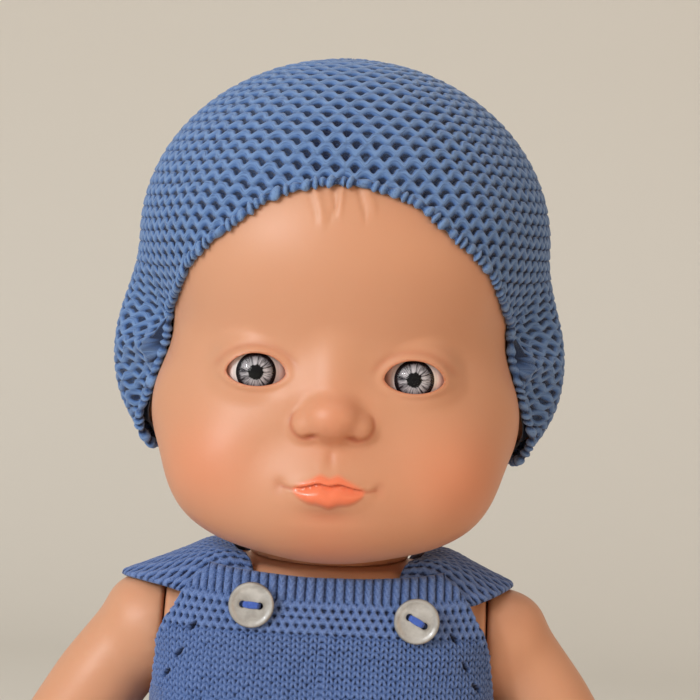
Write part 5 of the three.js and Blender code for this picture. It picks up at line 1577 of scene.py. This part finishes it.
class ButtonPiece:
    """A two-hole shell button and the thread that sews it on."""

    RADIUS = 6.1
    THICK = 2.2
    HOLE = 0.95
    SPACING = 4.5

    def __init__(self, side: str, shell: bpy.types.Material, thread: bpy.types.Material, turn: float) -> None:
        self.side = side
        self.shell = shell
        self.thread = thread
        self.turn = turn

    def place(self) -> Vector:
        """Return the middle of the button's back in metres."""
        low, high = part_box(f"{self.side}_button")
        return Vector(((low.x + high.x) / 2, high.y, (low.z + high.z) / 2))

    def build(self) -> list[bpy.types.Object]:
        """Build the button and its thread."""
        centre = self.place()
        profile = [
            (5.2, 0.0), (5.9, 0.35), (6.1, 0.9), (6.1, 1.5), (5.95, 1.95), (5.6, 2.2),
            (5.2, 2.18), (4.9, 2.0), (4.6, 1.86), (4.0, 1.8), (3.0, 1.76), (1.5, 1.74), (0.05, 1.74),
        ]
        sides = 64
        turn = np.arange(sides) * math.tau / sides
        rows = [[(r * math.cos(a), -h, r * math.sin(a)) for a in turn] for r, h in profile]
        button = Meshes.grid(f"{self.side}_button_disc", np.array(rows) * MM, True, (True, True))
        Meshes.outward(button)
        lean = Matrix.Rotation(self.turn, 4, "Y")
        for way in (1, -1):
            bpy.ops.mesh.primitive_cylinder_add(
                vertices=28,
                radius=self.HOLE * MM,
                depth=8 * MM,
                location=(way * self.SPACING / 2 * MM, 0, 0),
                rotation=(math.pi / 2, 0, 0),
            )
            tool = bpy.context.object
            modifier = button.modifiers.new("hole", "BOOLEAN")
            modifier.operation = "DIFFERENCE"
            modifier.object = tool
            modifier.solver = "EXACT"
            Meshes.apply(button)
            Meshes.drop(tool)
        p = Meshes.coordinates(button) / MM
        holes = np.minimum(*(np.hypot(p[:, 0] - w * self.SPACING / 2, p[:, 2]) for w in (1, -1)))
        rim = smoothstep(5.4, 6.1, np.hypot(p[:, 0], p[:, 2]))
        # Darker towards the outer rim, and painted shade around and inside the two holes.
        Meshes.paint(button, "rim", np.clip(rim + bell(holes - self.HOLE, 0.25), 0, 1))
        button.data.transform(Matrix.Translation(centre) @ lean)
        bpy.ops.object.select_all(action="DESELECT")
        bpy.context.view_layer.objects.active = button
        button.select_set(True)
        bpy.ops.object.shade_smooth_by_angle(angle=math.radians(35))
        button.data.materials.append(self.shell)
        thread = self.sew(centre, lean)
        for piece, node, slot in ((button, "button", "shell"), (thread, "button_thread", "sewing_thread")):
            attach(piece, "torso")
            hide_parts(f"{self.side}_{node}")
        return [button, thread]

    def sew(self, centre: Vector, lean: Matrix) -> bpy.types.Object:
        """Build the thread that crosses between the holes."""
        strands = []
        half = self.SPACING / 2
        for k in range(5):
            shift = (k - 2) * 0.33
            lift = 0.28 - 0.05 * abs(k - 2)
            s = np.linspace(-1, 1, 25)
            x = s * half * 1.02
            out = 1.78 + lift - 2.4 * np.clip(np.abs(s) - 0.72, 0, 1) ** 1.2 / 0.28
            path = np.stack([x, -out, np.full_like(s, 0.0) + shift * (1 - 0.35 * np.abs(s) ** 2)], axis=1)
            tangent = np.gradient(path, axis=0)
            tangent /= np.linalg.norm(tangent, axis=1, keepdims=True)
            side = np.tile([0.0, 0.0, 1.0], (len(s), 1))
            over = np.cross(tangent, side)
            over /= np.linalg.norm(over, axis=1, keepdims=True)
            turn = np.arange(10) * math.tau / 10
            ring = path[:, None] + 0.29 * (
                side[:, None] * np.cos(turn)[None, :, None] + over[:, None] * np.sin(turn)[None, :, None]
            )
            strands.append(Meshes.grid("strand", ring * MM, True, (True, True)))
        bpy.ops.object.select_all(action="DESELECT")
        for strand in strands:
            strand.select_set(True)
        bpy.context.view_layer.objects.active = strands[0]
        bpy.ops.object.join()
        thread = bpy.context.object
        thread.name = f"{self.side}_thread_strands"
        Meshes.outward(thread)
        thread.data.transform(Matrix.Translation(centre) @ lean)
        Meshes.smooth(thread)
        thread.data.materials.append(self.thread)
        return thread


class TrimFinishes:
    """Finishes of the buttons and their thread."""

    @staticmethod
    def shell() -> bpy.types.Material:
        """Off-white shell with soft clouds, a darker rim and painted shade around the holes."""
        nodes = Nodes("shell")
        cloud = nodes.between(nodes.noise(330, 4), 0.35, 0.68)
        band = nodes.between(nodes.noise(120, 2, nodes.coordinates((1, 1, 3.5))), 0.35, 0.65)
        colour = nodes.mix(cloud, srgb("bcbcb9"), srgb("9a9996"))
        colour = nodes.mix(nodes.math("MULTIPLY", band, 0.35), colour, srgb("8f8c86"))
        # Mix in the darker rim and the painted shade around the holes.
        colour = nodes.mix(nodes.math("MULTIPLY", nodes.attribute("rim"), 0.6), colour, srgb("5a544c"))
        nodes.join(colour, nodes.shader.inputs["Base Color"])
        nodes.join(nodes.between(cloud, 0, 1, 0.2, 0.34), nodes.shader.inputs["Roughness"])
        nodes.set(Coat_Weight=0.4, Coat_Roughness=0.1)
        nodes.bump(cloud, 0.00006, 0.5)
        return nodes.material

    @staticmethod
    def thread() -> bpy.types.Material:
        """Royal blue sewing thread."""
        nodes = Nodes("sewing_thread")
        ply = nodes.noise(3000, 2, nodes.coordinates((1, 1, 0.3)))
        nodes.join(nodes.mix(ply, srgb("1f3f96"), srgb("4f74cc")), nodes.shader.inputs["Base Color"])
        nodes.set(Roughness=0.8, Sheen_Weight=0.2)
        nodes.bump(ply, 0.0001, 0.7)
        return nodes.material


@dataclass(frozen=True)
class Shot:
    """The photograph's camera. Lengths are in metres and angles in degrees."""

    face_plane: float = -0.048
    distance: float = 0.760
    frame_width: float = 0.182
    height: float = 0.183
    shift: float = 0.0036
    azimuth: float = 0.8
    roll: float = 2.9

    def build(self) -> bpy.types.Object:
        """Place the camera and make it the scene's camera."""
        data = bpy.data.cameras.new("camera")
        camera = bpy.data.objects.new("camera", data)
        bpy.context.scene.collection.objects.link(camera)
        data.sensor_width = 36.0
        data.lens = 36.0 * self.distance / self.frame_width
        data.clip_start = 0.01
        turn = Matrix.Rotation(math.radians(self.azimuth), 4, "Z")
        away = turn @ Vector((0, -self.distance, 0))
        right = turn @ Vector((1, 0, 0))
        target = Vector((0, self.face_plane, self.height)) + right * self.shift
        look = turn @ Matrix.Rotation(math.radians(90), 4, "X") @ Matrix.Rotation(math.radians(self.roll), 4, "Z")
        camera.matrix_world = Matrix.Translation(target + away) @ look
        bpy.context.scene.camera = camera
        return camera


class Studio:
    """Plain pale floor and wall with soft light."""

    def build(self) -> None:
        """Make the stage, the lights and the even surrounding light."""
        nodes = Nodes("stage")
        tint = nodes.between(nodes.noise(1.5, 1), 0.3, 0.7)
        nodes.join(nodes.mix(tint, srgb("dcd9d2"), srgb("d8d4cc")), nodes.shader.inputs["Base Color"])
        nodes.set(Roughness=0.9, Specular_IOR_Level=0.1)
        profile = [(-3.0, 0.0), (0.9, 0.0)]
        profile += [(0.9 + 0.4 * math.sin(a), 0.4 - 0.4 * math.cos(a)) for a in np.linspace(0, math.pi / 2, 12)[1:]]
        profile += [(1.3, 4.0)]
        points = np.array([[(x, y, z - 0.0003) for x in (-4.0, 4.0)] for y, z in profile])
        floor = Meshes.grid("studio_sweep", points, False)
        Meshes.smooth(floor)
        floor.data.materials.append(nodes.material)
        self.area("key", (-1.05, -1.25, 0.85), 1.2, 19, (1.0, 0.98, 0.96))
        self.area("catch", (-0.95, -1.15, 0.72), 0.12, 5.0, (0.82, 0.91, 1.0))
        self.area("fill", (1.2, -1.1, 0.1), 1.4, 11.5, (1.0, 0.59, 0.3))
        self.area("top", (0.0, 0.2, 1.6), 1.2, 4, (1.0, 0.98, 0.96))
        world = bpy.data.worlds.new("world")
        world.use_nodes = True
        world.node_tree.nodes["Background"].inputs[0].default_value = (*srgb("dcd6cc"), 1.0)
        world.node_tree.nodes["Background"].inputs[1].default_value = 0.62
        bpy.context.scene.world = world
        bpy.context.scene.view_settings.view_transform = "Standard"

    @staticmethod
    def area(name: str, place: tuple[float, float, float], size: float, power: float, colour: tuple[float, float, float]) -> None:
        """Add a square lamp that looks at the doll."""
        data = bpy.data.lights.new(name, "AREA")
        data.size = size
        data.energy = power
        data.color = colour
        lamp = bpy.data.objects.new(name, data)
        bpy.context.scene.collection.objects.link(lamp)
        aim = Vector((0, 0, 0.15)) - Vector(place)
        lamp.matrix_world = Matrix.Translation(place) @ aim.to_track_quat("-Z", "Y").to_matrix().to_4x4()


def main() -> None:
    """Build the whole scene."""
    Shot().build()
    Studio().build()
    vinyl = VinylFinish().build()
    shape = HeadShape(HeadSizes())
    head = HeadPiece(shape, vinyl).build()
    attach(head, "head")
    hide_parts("head")
    finishes = EyeFinishes()
    for side in (1, -1):
        EyePiece(shape, side, finishes).build()
    # Knit colours: painted gap shade, body colour, painted highlight on the yarn's tops.
    bonnet_knit = KnitFinish("bonnet_knit", "0f1a38", "3d5d92", "6d8bb7", True).build()
    BonnetPiece(shape, bonnet_knit).build()
    sizes = BodySizes()
    torso_shape = TorsoShape(sizes)
    romper_knit = KnitFinish("romper_knit", "0e1735", "3c568a", "6b84b8", False).build()
    for is_front in (True, False):
        RomperPanel(torso_shape, romper_knit, is_front).build()
    LimbPiece("torso", "torso", vinyl, 1.0, 10).build()
    shell = TrimFinishes.shell()
    thread = TrimFinishes.thread()
    for side, tilt in (("left", math.radians(28)), ("right", math.radians(4))):
        LimbPiece(f"{side}_arm", f"{side}_arm", vinyl, 0.8, 14).build()
        LimbPiece(f"{side}_leg", f"{side}_leg", vinyl, 0.9, 14).build()
        StrapPiece(side, romper_knit).build()
        RomperLegPiece(side, romper_knit, sizes).build()
        ButtonPiece(side, shell, thread, tilt).build()


if __name__ == "__main__":
    main()
